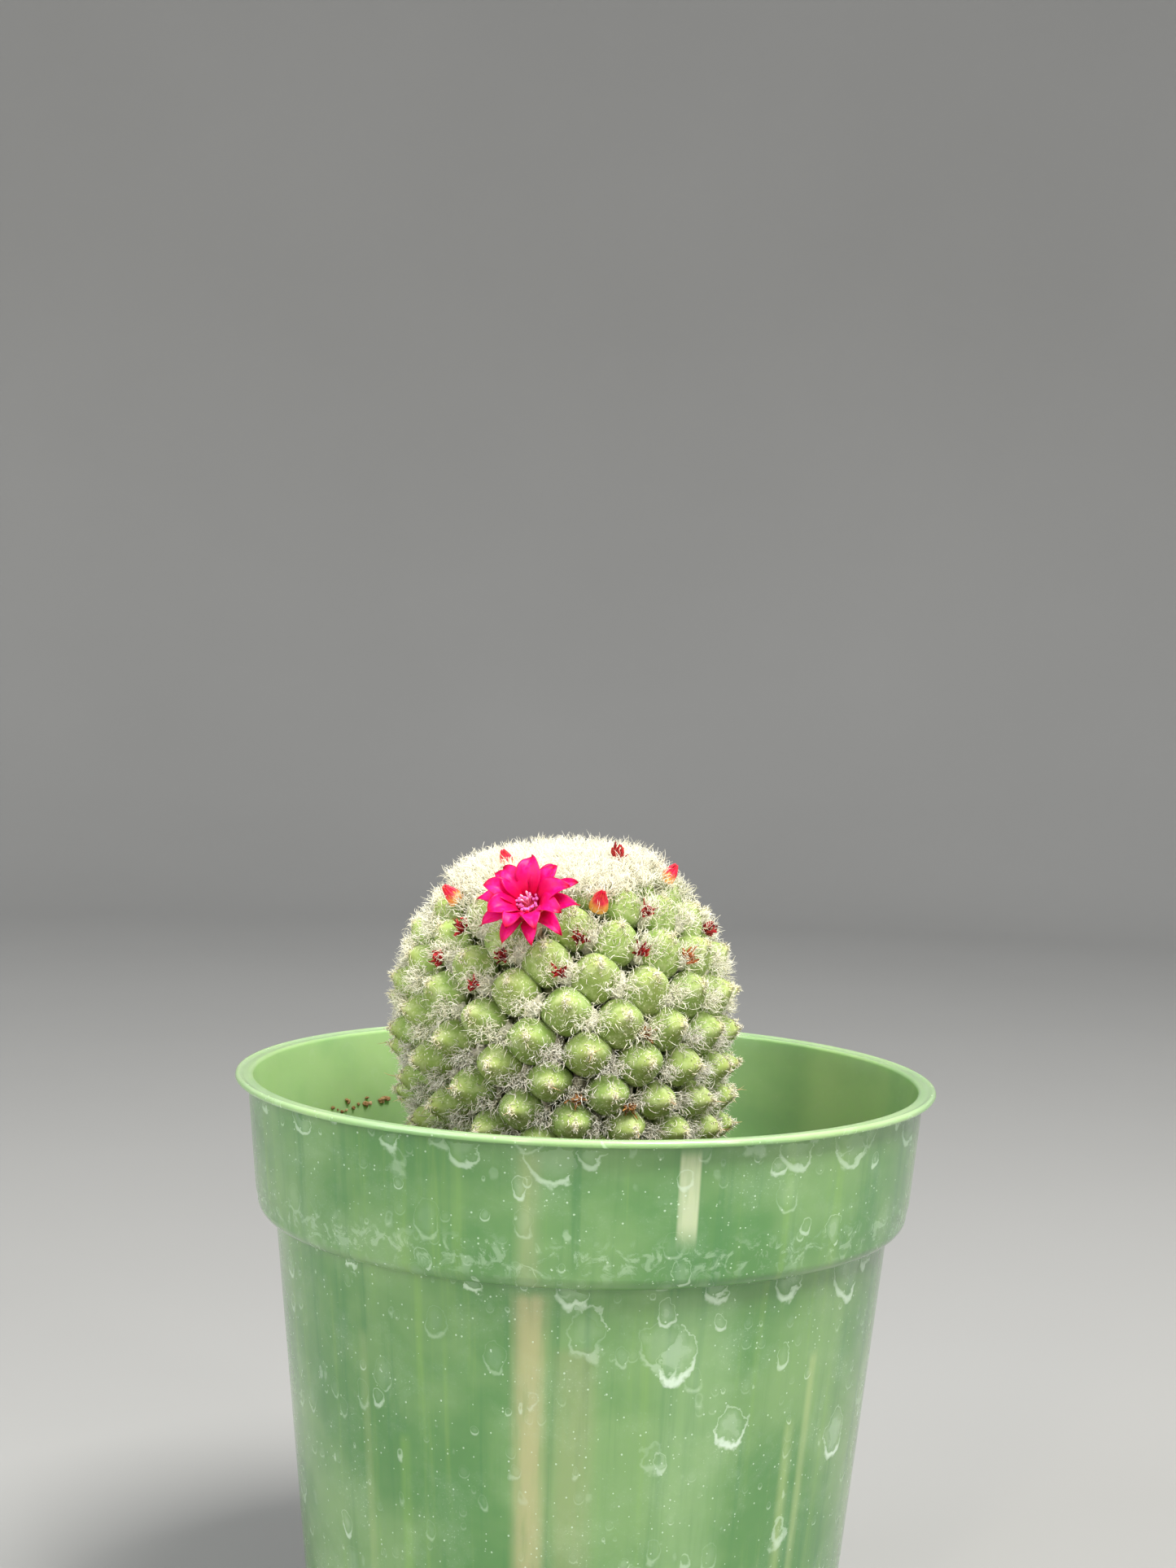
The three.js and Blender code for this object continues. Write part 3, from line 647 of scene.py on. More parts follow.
def length_at(height):
    """Tubercles are shorter towards the crown, where they are young."""
    climb = np.clip((height - equator_height) / crown_rise, 0, 1)
    return tubercle_length + (crown_tubercle_length - tubercle_length) * climb ** 2


# %% [markdown]
# A tubercle is a plump cone, pressed a little square by its neighbours, with its tip drawn
# up towards the light. All of them are made at once: one grid of points per tubercle,
# from its foot to its tip, scaled and turned into place. No two are quite alike, so each
# gets its own small change of size and direction from a seeded random generator.

# %% Tubercle shapes
chance = np.random.default_rng(11)
tip_points, tip_outward = spots(azimuths, heights)
above_soil = in_pot(tip_points)[:, 2] > soil_top + 0.63 * spacings
chosen = np.flatnonzero(above_soil)
uplift = 0.08
tubercle_aim = unit(tip_outward + np.array([0, 0, uplift]) + chance.normal(0, 0.04, (len(heights), 3)))
tubercle_up = unit(np.array([0, 0, 1.0]) - tubercle_aim * tubercle_aim[:, 2:])
crown_side = unit(np.cross(tubercle_aim, np.array([0.3, 1, 0.1])))
tubercle_up = np.where(tubercle_aim[:, 2:] > 0.97, crown_side, tubercle_up)
tubercle_side = np.cross(tubercle_up, tubercle_aim)
fatness = chance.uniform(0.95, 1.06, len(heights))
stretch = chance.uniform(0.95, 1.04, len(heights))


def tubercle_surface(which, along, around):
    """Points on tubercles `which`, at shares `along` from foot to tip and angles `around`."""
    full = length_at(heights[which]) * stretch[which] + 0.9
    belly = 0.74 + 0.26 * np.sin(np.clip(along / 0.36, 0, 1) * math.pi / 2)
    nose = np.clip(1 - np.clip((along - 0.36) / 0.64, 0, 1) ** 1.75, 0, 1) ** 0.86
    pressed = 1 + 0.045 * np.cos(4 * around)
    radius = 0.475 * spacings[which] * fatness[which] * belly * nose * pressed
    drop = 0.13 * spacings[which] * (1 - along ** 1.6)
    back = (full * (1 - along))[..., None]
    return (tip_points[which] - tubercle_aim[which] * back
            + tubercle_up[which] * (0.93 * radius * np.cos(around) - drop)[..., None]
            + tubercle_side[which] * (radius * np.sin(around))[..., None])


rings, ring_sides, last_ring = 15, 26, 0.995
along = last_ring * (1 - (1 - np.linspace(0, 1, rings)) ** 1.5)
around = np.arange(ring_sides) / ring_sides * 2 * math.pi
which_grid, along_grid, around_grid = np.meshgrid(chosen, along, around, indexing="ij")
tubercle_points = tubercle_surface(which_grid, along_grid, around_grid)
tubercle_starts = np.arange(len(chosen)) * rings * ring_sides

root_rows, dome_rows, core_sides = 8, 32, 80
core_rows = root_rows + dome_rows
core_top = equator_height + crown_rise - crown_tubercle_length
core_heights = np.concatenate([np.linspace(-20, 0, root_rows),
                               core_top * np.sin(np.linspace(0.03, 1.5, dome_rows))])
core_radii = outline_radius(core_heights, tubercle_length - 0.4, crown_tubercle_length)
core_radii = np.where(core_heights < 0, core_radii * (1 + core_heights / 32), core_radii)
core_points = turned_points(np.stack([core_radii, core_heights], -1), core_sides).reshape(-1, 3)
tubercle_points = tubercle_points.reshape(-1, 3)
stem_points = np.concatenate([tubercle_points, core_points])
stem_faces = (closed_grids(rings, ring_sides, tubercle_starts)
              + closed_grids(core_rows, core_sides, [len(tubercle_points)]))


def with_core(on_tubercles, on_core):
    """One value for each point of the tubercles, and then for each point of the core."""
    return np.concatenate([on_tubercles.ravel(), np.broadcast_to(on_core, len(core_points))])


stem_values = {
    "along": with_core(along_grid, -0.2),
    "tint": with_core(chance.uniform(0, 1, len(heights))[which_grid], 0.5),
    "climb": with_core(heights[which_grid] / heights[0], core_points[:, 2] / heights[0]),
    "upper": with_core(np.cos(around_grid), 0.0),
}
stem = new_piece("cactus_body", in_pot(stem_points), stem_faces, stem_values)

# %% [markdown]
# The skin is a matt grey-green, fresher towards each tip and yellow right under it. It is
# painted darker where the tubercles crowd together, and on the lower side of each tubercle:
# painted shade. Fine pale flecks cover it. The colour follows the value stored along each
# tubercle, so it can't drift away from the shape.

# %% Skin of the stem
skin = Finish("green_skin", roughness=0.75, specular=0.22)
where = skin.place()
along_tip = skin.value("along")
patchy = skin.noise(where, 260.0, detail=4.0)
fresh = skin.mix(skin.span(patchy, 0.3, 0.7), (0.180, 0.300, 0.055), (0.270, 0.400, 0.100))
fresh = skin.mix(skin.span(skin.value("tint"), 0.0, 1.0, 0.0, 0.35), fresh, (0.33, 0.40, 0.11))
# Painted shade: the foot of each tubercle and the core between the tubercles are painted dark.
deep = skin.mix(skin.span(along_tip, 0.10, 0.60), (0.045, 0.065, 0.012), fresh)
tipped = skin.mix(skin.span(along_tip, 0.70, 0.98, 0.0, 0.40), deep, (0.46, 0.48, 0.15))
tipped = skin.mix(skin.span(along_tip, 0.93, 0.99, 0.0, 0.85), tipped, (0.78, 0.72, 0.42))
# Painted shade: the lower side of each tubercle is painted darker.
shaded = skin.mix(skin.span(skin.value("upper"), -0.1, -1.0, 0.0, 0.35), tipped, (0.14, 0.17, 0.03))
young = skin.mix(skin.span(skin.value("climb"), 0.6, 1.0, 0.0, 0.35), shaded, (0.27, 0.42, 0.08))
bloom = skin.span(skin.noise(where, 620.0, detail=6.0, roughness=0.75), 0.42, 0.66, 0.04, 0.50)
dusty = skin.mix(bloom, young, (0.58, 0.64, 0.36))
tall_place = skin.node("ShaderNodeVectorMath", {0: where, 1: (1.0, 1.0, 0.55)},
                       operation="MULTIPLY").outputs["Vector"]
fleck_cells = skin.cells(tall_place, 2300.0)
fleck = skin.span(fleck_cells.outputs["Distance"], 0.34, 0.10, 0.0, 0.8)
fleck = skin.math("MULTIPLY", fleck, skin.span(skin.noise(where, 420.0, detail=3.0), 0.40, 0.58))
skin.colour(skin.mix(fleck, dusty, (0.86, 0.88, 0.66)))
skin.rough(skin.span(patchy, 0.3, 0.7, 0.66, 0.85))
skin.bump(skin.noise(where, 900.0, detail=4.0), 0.05, 0.5)
skin.shader.inputs["Subsurface Weight"].default_value = 0.15
skin.shader.inputs["Subsurface Radius"].default_value = (0.7, 1.0, 0.3)
skin.shader.inputs["Subsurface Scale"].default_value = 1.2 * MM
dress(stem, skin, "stem", "cactus_stem")

# %% [markdown]
# Wool, fluff and down are the same thing at three sizes: thin hairs that taper and bend.
# Blender's own hair curves are not used: each hair is a real three-sided tube with a
# closed foot and tip. A whole field of hairs is grown together, step by step: every step
# each hair moves on along its direction, and the direction turns a little about an axis
# that wanders too. Each hair also gets its own narrow strip of a second map.

# %% Grow a field of hairs
def hair_field(name, roots, aims, lengths, thickness, curl, steps, dice):
    """One mesh of bent hairs; thickness is a hair's radius at its foot, all in millimetres."""
    count, corners = len(roots), 3
    per_hair = corners * (steps + 1)
    aims = unit(aims)
    axis = unit(np.cross(aims, dice.normal(size=(count, 3))))
    swing = dice.normal(1.0, 0.45, count) * curl / steps
    place, direction = roots.copy(), aims
    thickness = thickness * dice.uniform(0.7, 1.25, count)
    rows = []
    for step in range(steps + 1):
        over = np.cross(direction, axis)
        radius = (thickness * (1 - 0.82 * (step / steps) ** 1.5))[:, None]
        for corner in range(corners):
            angle = 2 * math.pi * corner / corners
            rows.append(place + radius * (math.cos(angle) * axis + math.sin(angle) * over))
        place = place + direction * (lengths / steps)[:, None]
        direction = unit(direction * np.cos(swing)[:, None]
                         + np.cross(axis, direction) * np.sin(swing)[:, None])
        axis = unit(axis + dice.normal(0, 0.35, (count, 3)))
        axis = unit(axis - direction * (axis * direction).sum(-1, keepdims=True))
    points = np.stack(rows, 1).reshape(-1, 3)
    first = (np.arange(count) * per_hair)[:, None, None]
    one_hair = [grid_faces(steps + 1, corners, wrap=True)] + end_faces(steps + 1, corners)
    faces = [(part[None] + first).reshape(-1, part.shape[1]) for part in one_hair]
    values = {"tint": np.repeat(dice.uniform(0, 1, count), per_hair),
              "along": np.tile(np.repeat(np.arange(steps + 1) / steps, corners), count)}
    piece = new_piece(name, in_pot(points), faces, values)
    beside = np.tile([-0.004, 0.0, 0.004], count * (steps + 1))
    store_map(piece, np.stack([on_map(values["tint"], 0.01) + beside, on_map(values["along"], 0.01)], -1))
    return piece


def strand_finish(name, dark, light, roughness=0.9, sheen=0.3):
    """Colour of a hair by its own tint, and painted a little darker at its foot: painted shade."""
    finish = Finish(name, roughness=roughness, specular=0.15)
    tint, along = finish.value("tint"), finish.value("along")
    strand = finish.node("ShaderNodeCombineXYZ", {0: finish.math("MULTIPLY", tint, 40.0),
                                                  1: finish.math("MULTIPLY", along, 3.0)}).outputs["Vector"]
    flecked = finish.math("ADD", tint, finish.span(finish.noise(strand, 1.0), 0.3, 0.7, -0.35, 0.35))
    colour = finish.mix(finish.span(flecked, 0.0, 0.85), dark, light)
    # Painted shade: the foot of each hair is darkened.
    shade = tuple(0.72 * channel for channel in dark)
    finish.colour(finish.mix(finish.span(along, 0.45, 0.0, 0.0, 0.55), colour, shade))
    finish.shader.inputs["Sheen Weight"].default_value = sheen
    return finish


# %% [markdown]
# The crown is a cap of dense creamy wool. Under the hairs lies a lumpy pad, so that no
# green shows between them, and over it the hairs stand in clumps that lean this way and
# that. A few longer ones break up the outline against the background.

# %% Wool cap over the crown
cap_dice = np.random.default_rng(23)
top_height = equator_height + crown_rise
wool_low = equator_height + crown_rise * 0.86
pad_rows, pad_sides = 36, 120
pad_heights = wool_low + (top_height - wool_low) * np.sin(np.linspace(0, math.pi / 2, pad_rows))
pad_heights[-1] -= 0.01
pad_radii = outline_radius(pad_heights, 0.5, -0.2)
pad_points = turned_points(np.stack([pad_radii, pad_heights], -1), pad_sides)
lumps = sum(
    amount * np.sin(pad_points[..., 0] * f + a) * np.sin(pad_points[..., 1] * f * 1.13 + b)
    for amount, f, a, b in ((0.45, 0.9, 0.4, 1.9), (0.3, 1.7, 2.2, 0.3), (0.16, 3.4, 1.0, 4.0))
)
pad_outward = unit(pad_points / stem_radius * [1, 1, 0] + [0, 0, 0.8])
pad_points = pad_points + pad_outward * (lumps - 0.2)[..., None]
pad_points[..., 2] -= crown_dip(pad_points)
under = pad_points[:1] * np.array([0.93, 0.93, 1.0]) + np.array([0, 0, -1.6])
pad_all = np.concatenate([under, pad_points]).reshape(-1, 3)
pad = new_piece("crown_wool_pad", in_pot(pad_all), closed_grids(pad_rows + 1, pad_sides, [0]))


def felt_finish(name, low_colour, high_colour):
    """Matted wool, which lies under the loose hairs."""
    felt = Finish(name, roughness=0.95, specular=0.1)
    matted = felt.noise(felt.place(), 1400.0, detail=6.0, roughness=0.75, distortion=1.5)
    felt.colour(felt.mix(felt.span(matted, 0.3, 0.62), low_colour, high_colour))
    felt.bump(matted, 0.5, 0.9)
    return felt


cream_felt = felt_finish("cream_felt", (0.62, 0.58, 0.42), (0.93, 0.91, 0.78))
dress(pad, cream_felt, "wool", "crown_wool")

cream_wool = strand_finish("cream_wool", (0.89, 0.85, 0.63), (0.97, 0.95, 0.82))
crown_hairs, long_hairs = 7400, 420
share = cap_dice.uniform(0, 1, crown_hairs)
hair_heights = (top_height - 0.05) - (crown_rise * 0.20) * share ** 1.1
hair_azimuths = cap_dice.uniform(0, 2 * math.pi, crown_hairs)
hair_spots, hair_outward = spots(hair_azimuths, hair_heights)
clumps = unit(cap_dice.normal(size=(500, 3)) * [1, 1, 0.4] + [0, 0, 1.2])
clump_of = np.argmax(hair_outward @ clumps.T, 1)
clump_aim = cap_dice.normal(0, 0.55, (len(clumps), 3))[clump_of]
hair_aims = hair_outward + clump_aim + cap_dice.normal(0, 0.36, (crown_hairs, 3))
hair_lengths = cap_dice.uniform(1.2, 2.7, crown_hairs) * (0.9 + 0.4 * share)
hair_lengths[:long_hairs] = cap_dice.uniform(2.3, 3.5, long_hairs)
hair_roots = hair_spots - hair_outward * cap_dice.uniform(-0.3, 1.0, crown_hairs)[:, None]
crown = hair_field("crown_wool_hairs", hair_roots, hair_aims, hair_lengths, 0.072, 1.7, 4, cap_dice)
dress(crown, cream_wool, "wool")

# %% [markdown]
# Each axil, the pit between three tubercles, is stuffed with wool of its own. Near the
# crown it is long, thick and creamy, stands as high as the tips and runs together into
# bands. Further down it gets thinner and grey and sinks back, because the wool of old
# axils wears away. A small mound of felt hides the bottom of each pit, and loose hairs
# stand out of the pit in all directions.

# %% Mounds of felt and loose hairs in the axils
def axil_spots(which, across, up):
    """Points on the tips' outline beside tubercles, in millimetres across and up from their tips."""
    height = np.minimum(heights[which] + up, top_height - 0.05)
    azimuth = azimuths[which] + across / np.maximum(outline_radius(height), 3.0)
    return spots(azimuth, height)


grey_wool = strand_finish("grey_wool", (0.74, 0.68, 0.56), (0.92, 0.90, 0.82))
grey_felt = felt_finish("grey_felt", (0.38, 0.33, 0.25), (0.78, 0.74, 0.63))


first_aging, aging_tubercles = 22, 105
young_hairs, hairs_lost = 285, 125


def age_of(which):
    """0 for tubercles at the crown's edge, 1 for the older ones, from half way down."""
    return np.clip((which - first_aging) / aging_tubercles, 0, 1)


def numbered(first, last):
    """The tubercles from number first up to, but not with, number last."""
    return chosen[(chosen >= first) & (chosen < last)]


def axil_mounds(name, first, last, finish, seed):
    """A lumpy ball of felt deep in the pit above each tubercle."""
    mound_dice = np.random.default_rng(seed)
    which = numbered(first, last)
    age = age_of(which)
    centres, outward = axil_spots(which, 0.06 * spacings[which], 0.58 * spacings[which])
    centres = centres - outward * (3.0 + 3.3 * age)[:, None]
    rows, sides = 9, 14
    polar = np.linspace(0.12, math.pi - 0.12, rows)
    ball = turned_points(np.stack([np.sin(polar), -np.cos(polar)], -1), sides).reshape(-1, 3)
    bumps = 1 + 0.2 * mound_dice.normal(size=(len(which), len(ball), 1))
    points = centres[:, None] + ball[None] * bumps * (1.95 - 0.25 * age)[:, None, None]
    starts = np.arange(len(which)) * rows * sides
    piece = new_piece(name, in_pot(points.reshape(-1, 3)), closed_grids(rows, sides, starts))
    return dress(piece, finish, "wool")


def axil_tufts(name, first, last, finish, seed):
    """Loose hairs that stand out of the pit above each tubercle."""
    tuft_dice = np.random.default_rng(seed)
    numbers = numbered(first, last)
    which = np.repeat(numbers, (young_hairs - hairs_lost * age_of(numbers)).astype(int))
    age = age_of(which)
    across = (0.04 + 0.24 * tuft_dice.normal(size=len(which))) * spacings[which]
    up = (0.56 + 0.11 * tuft_dice.normal(size=len(which))) * spacings[which]
    points, outward = axil_spots(which, across, up)
    away = unit(tuft_dice.normal(size=points.shape) + 1.2 * outward)
    centres = points - outward * (1.1 + 2.3 * age ** 1.15)[:, None]
    roots = centres + away * tuft_dice.uniform(0.3, 1.5, len(which))[:, None]
    aims = away + 0.4 * outward + tuft_dice.normal(0, 0.45, points.shape)
    lengths = tuft_dice.uniform(0.9, 2.4, len(which))
    return dress(hair_field(name, roots, aims, lengths, 0.066, 1.9, 3, tuft_dice), finish, "wool")


first_woolly, first_grey, after_last = 12, 105, len(heights)
axil_mounds("axil_felt_young", first_woolly, first_grey, cream_felt, 29)
axil_mounds("axil_felt_old", first_grey, after_last, grey_felt, 30)
axil_tufts("axil_wool_top", first_woolly, 42, cream_wool, 31)
axil_tufts("axil_wool_upper", 42, 72, cream_wool, 32)
axil_tufts("axil_wool_middle", 72, first_grey, cream_wool, 33)
axil_tufts("axil_wool_low", first_grey, 150, grey_wool, 34)
axil_tufts("axil_wool_lowest", 150, after_last, grey_wool, 35)

# %% [markdown]
# On each tip sits the areole, a small cream cushion of felt, and from the lower ones
# a few short tan spines still grow. The skin itself carries a thin down of short pale
# hairs that lean towards the tip. They hardly show one by one, but without them the green
# would look like plastic.

# %% Areoles, down and spines
fluff_dice = np.random.default_rng(41)
hairs_per_areole = 56
fluff_number = np.repeat(chosen, hairs_per_areole)
fluff_count = len(fluff_number)
fluff_along = 1 - np.abs(fluff_dice.normal(0, 0.08, fluff_count))
fluff_side = fluff_dice.uniform(size=fluff_count) < 0.45
fluff_around = fluff_dice.normal(0, 0.5, fluff_count) + math.pi * fluff_side
fluff_roots = tubercle_surface(fluff_number, np.clip(fluff_along, 0.76, last_ring), fluff_around)
fluff_aims = tubercle_aim[fluff_number] * 0.8 + fluff_dice.normal(0, 0.6, fluff_roots.shape)
fluff_lengths = fluff_dice.uniform(0.4, 1.15, fluff_count)
fluff = hair_field("areole_fluff", fluff_roots, fluff_aims, fluff_lengths, 0.082, 1.4, 2, fluff_dice)
dress(fluff, strand_finish("areole_felt", (0.92, 0.84, 0.55), (0.97, 0.95, 0.82)), "wool")

down_dice = np.random.default_rng(43)
down_count = 13500
down_number = down_dice.choice(chosen, down_count)
down_along = down_dice.uniform(0.3, 0.97, down_count)
down_around = down_dice.uniform(0, 2 * math.pi, down_count)
down_roots = tubercle_surface(down_number, down_along, down_around)
skin_step = tubercle_surface(down_number, down_along, down_around + 0.05) - down_roots
tip_step = tubercle_surface(down_number, down_along + 0.02, down_around) - down_roots
skin_outward = unit(np.cross(unit(tip_step), unit(skin_step)))
axis_line = tip_points[down_number] - tubercle_aim[down_number] * 3.0
skin_outward *= np.sign(((down_roots - axis_line) * skin_outward).sum(-1, keepdims=True))
down_aims = skin_outward * 0.4 + unit(tip_step) * 0.5 + down_dice.normal(0, 0.5, down_roots.shape)
down_lengths = down_dice.uniform(0.35, 1.05, down_count)
down = hair_field("skin_down", down_roots, down_aims, down_lengths, 0.030, 1.3, 2, down_dice)
dress(down, strand_finish("pale_down", (0.82, 0.86, 0.62), (0.96, 0.96, 0.86)), "stem")

spine_dice = np.random.default_rng(47)
youngest_with_spines, spines_per_areole, share_left = 91, 3, 0.34
spine_number = np.repeat(numbered(youngest_with_spines, after_last), spines_per_areole)
spine_number = spine_number[spine_dice.uniform(0, 1, len(spine_number)) < share_left]
spine_roots = tip_points[spine_number] + spine_dice.normal(0, 0.15, (len(spine_number), 3))
spine_aims = tubercle_aim[spine_number] + spine_dice.normal(0, 0.38, spine_roots.shape)
spine_lengths = spine_dice.uniform(0.8, 2.3, len(spine_number))
spines = hair_field("short_spines", spine_roots, spine_aims, spine_lengths, 0.07, 0.3, 3, spine_dice)
spine_tan = strand_finish("tan_spine", (0.60, 0.34, 0.15), (0.82, 0.62, 0.36), roughness=0.45, sheen=0.0)
dress(spines, spine_tan, "stem")

# %% [markdown]
# The flower stands in an axil below the wool: a pale tube that widens like a funnel, two
# rings of pointed petals that curl back, and a cluster of lilac stamens round the stigma.
# A frame is set up at the flower's mouth from the same spiral, and everything of the flower
# is drawn in that frame, with +Z out of the mouth.

# %% A frame on the stem for the flower, the buds and the dried flowers
def site_frame(tubercle, across, up, stand):
    """Origin and axes, as rows, of a place that stands off the outline beside a tubercle."""
    point, outward = axil_spots(np.array([tubercle]), across, up)
    origin, z_axis = (point + outward * stand)[0], outward[0]
    flat = np.array([0.0, 0.0, 1.0])
    axis = np.cross(flat, z_axis)
    sine, cosine = np.linalg.norm(axis), z_axis @ flat
    axis = axis / sine

    def rotated(vector):
        return vector * cosine + np.cross(axis, vector) * sine + axis * (axis @ vector) * (1 - cosine)

    return origin, np.stack([rotated(np.array([1.0, 0, 0])), rotated(np.array([0, 1.0, 0])), z_axis])


def on_site(site, points):
    """Points of a site's frame, placed in the pot's frame."""
    origin, axes = site
    return in_pot(np.asarray(points) @ axes + origin)


flower = site_frame(42, 4.7, 0.9, 2.4)

# %% [markdown]
# A petal is a blade on an arc: it leaves the mouth at one angle and bends to another. Its
# width grows to about half its length and closes to a point. It is slightly cupped with a
# soft crease down the middle, and its edges are gently wavy, which catches the light in
# streaks. Front, back and rim are one closed mesh, about a sixth of a millimetre thick.

# %% Petals
def petal_blade(length, width, foot_width, foot_radius, foot_lift, start, end, cup, wave, twist, dice,
                rows=22, columns=11, thickness=0.16, tip_power=1.5, bend=1.15):
    """Points and faces of one closed petal in the flower's frame, and its stored values."""
    t = np.linspace(0, 1, rows)[:, None]
    w = np.linspace(-1, 1, columns)[None, :]
    angle = np.radians(start + (end - start) * t ** bend)
    step = length / (rows - 1)
    out = foot_radius + np.concatenate([[0], np.cumsum(np.sin(angle[:-1, 0]) * step)])[:, None]
    lift = foot_lift + np.concatenate([[0], np.cumsum(np.cos(angle[:-1, 0]) * step)])[:, None]
    swell = ease(t, 0.0, 0.55)
    half = 0.5 * (foot_width + (width - foot_width) * swell)
    half = half * np.clip(1 - np.clip((t - 0.42) / 0.58, 0, 1) ** tip_power, 0, 1)
    half = np.maximum(half, 0.02)
    phase = dice.uniform(0, 2 * math.pi)
    hollow = cup * (w ** 2) * half - 0.12 * np.exp(-(w / 0.25) ** 2) * swell
    hollow = hollow + wave * np.sin(9 * t + phase + 1.6 * w) * w ** 2 * swell
    side = w * half * np.cos(twist * t) + 0 * t
    depth = hollow + w * half * np.sin(twist * t)
    radial = out - depth * np.cos(angle)
    upward = lift + depth * np.sin(angle)
    front = np.stack([radial, side, upward], -1)
    normal = np.stack([-np.cos(angle), 0 * angle, np.sin(angle)], -1)
    body = thickness * (1 - 0.75 * np.abs(w) ** 3)[..., None] * (1 - 0.6 * t ** 2)[..., None]
    back = front - normal * body
    points = np.concatenate([front.reshape(-1, 3), back.reshape(-1, 3)])
    front_faces = grid_faces(rows, columns)
    size = rows * columns
    loop = np.concatenate([np.arange(columns), np.arange(1, rows) * columns + columns - 1,
                           (rows - 1) * columns + np.arange(columns - 2, -1, -1),
                           np.arange(rows - 2, 0, -1) * columns])
    following = np.roll(loop, -1)
    rim = np.stack([loop, following, following + size, loop + size], -1)
    faces = np.concatenate([front_faces[:, ::-1], front_faces + size, rim])
    values = {
        "along": np.tile((t + 0 * w).ravel(), 2),
        "across": np.tile(np.abs(w + 0 * t).ravel(), 2),
        "behind": np.repeat([0.0, 1.0], size),
    }
    return points, faces, values


def turned_about(points, angle):
    """Points turned about +Z."""
    c, s = math.cos(angle), math.sin(angle)
    return points @ np.array([[c, s, 0], [-s, c, 0], [0, 0, 1.0]])


def merge_blades(name, blades):
    """Join blades into one piece; each comes with the site that it stands on."""
    points, faces, values, start = [], [], {}, 0
    for site, (blade_points, blade_faces, blade_values) in blades:
        points.append(on_site(site, blade_points))
        faces.append(blade_faces + start)
        start += len(blade_points)
        for label, numbers in blade_values.items():
            values.setdefault(label, []).append(numbers)
    values = {label: np.concatenate(parts) for label, parts in values.items()}
    return new_piece(name, np.concatenate(points), [np.concatenate(faces)], values)


def ring_of_petals(name, count, turn, dice, **shape):
    """One ring of the flower's petals, each a little different, as one piece."""
    blades = []
    for number in range(count):
        own = dict(shape)
        for key, amount in (("length", 0.06), ("width", 0.08), ("start", 0.06), ("end", 0.10)):
            own[key] = own[key] * dice.uniform(1 - amount, 1 + amount)
        own["twist"] = dice.normal(0, 0.16)
        points, faces, values = petal_blade(dice=dice, **own)
        angle = 2 * math.pi * (number + turn + dice.normal(0, 0.05)) / count
        blades.append((flower, (turned_about(points, angle), faces, values)))
    return merge_blades(name, blades)


petal_dice = np.random.default_rng(5)
inner_petals = ring_of_petals(
    "inner_petals", 9, 0.0, petal_dice, length=7.2, width=3.9, foot_width=1.7, foot_radius=1.35,
    foot_lift=0.0, start=28, end=138, cup=0.32, wave=0.30, bend=2.2, tip_power=2.15)
outer_petals = ring_of_petals(
    "outer_petals", 10, 0.5, petal_dice, length=7.3, width=2.9, foot_width=1.5, foot_radius=1.8,
    foot_lift=-0.8, start=44, end=132, cup=0.34, wave=0.32, bend=1.6, tip_power=1.6)

silk = Finish("magenta_silk", roughness=0.45, specular=0.2)
silk_along, silk_across = silk.value("along"), silk.value("across")
veins = silk.noise(silk.place(), 1500.0, detail=3.0)
base_pink = silk.mix(silk.span(silk_along, 0.15, 0.6), (0.62, 0.0, 0.050), (0.72, 0.0, 0.130))
# Painted sheen: violet streaks where the petals bend back stand in for the shine of the satin surface.
painted_violet_sheen = silk.math("MULTIPLY", silk.span(silk_along, 0.45, 0.68), silk.span(silk_along, 0.95, 0.75))
painted_violet_sheen = silk.math("MULTIPLY", painted_violet_sheen, silk.span(veins, 0.40, 0.62, 0.0, 0.5))
pink_with_painted_sheen = silk.mix(painted_violet_sheen, base_pink, (0.80, 0.01, 0.27))
red_edge = silk.math("MULTIPLY", silk.span(silk_across, 0.82, 1.0), silk.span(silk_along, 0.35, 0.8))
red_tip = silk.math("MAXIMUM", silk.span(silk_along, 0.80, 0.99, 0.0, 0.9), red_edge)
petal_colour = silk.mix(red_tip, pink_with_painted_sheen, (0.46, 0.0, 0.012))
back_colour = silk.mix(silk.span(silk_along, 0.55, 0.25), (0.84, 0.012, 0.02), (0.92, 0.36, 0.30))
silk.colour(silk.mix(silk.math("MULTIPLY", silk.value("behind"), 0.8), petal_colour, back_colour))
silk.rough(silk.span(veins, 0.3, 0.7, 0.36, 0.52))
silk.bump(veins, 0.05, 0.5)
silk.shader.inputs["Subsurface Weight"].default_value = 0.15
silk.shader.inputs["Subsurface Radius"].default_value = (1.0, 0.1, 0.4)
silk.shader.inputs["Subsurface Scale"].default_value = 0.5 * MM
dress(inner_petals, silk, "petal", *[f"inner_petal_{n:02d}" for n in range(1, 9)])
dress(outer_petals, silk, "petal", *[f"outer_petal_{n:02d}" for n in range(1, 9)])

# %% [markdown]
# The tube under the petals is a soft funnel with shallow ribs, pale pink and almost white
# where it dives into the wool. The stamens are thin threads with small lilac knobs, and
# the stigma stands in their middle with a few short blunt lobes.

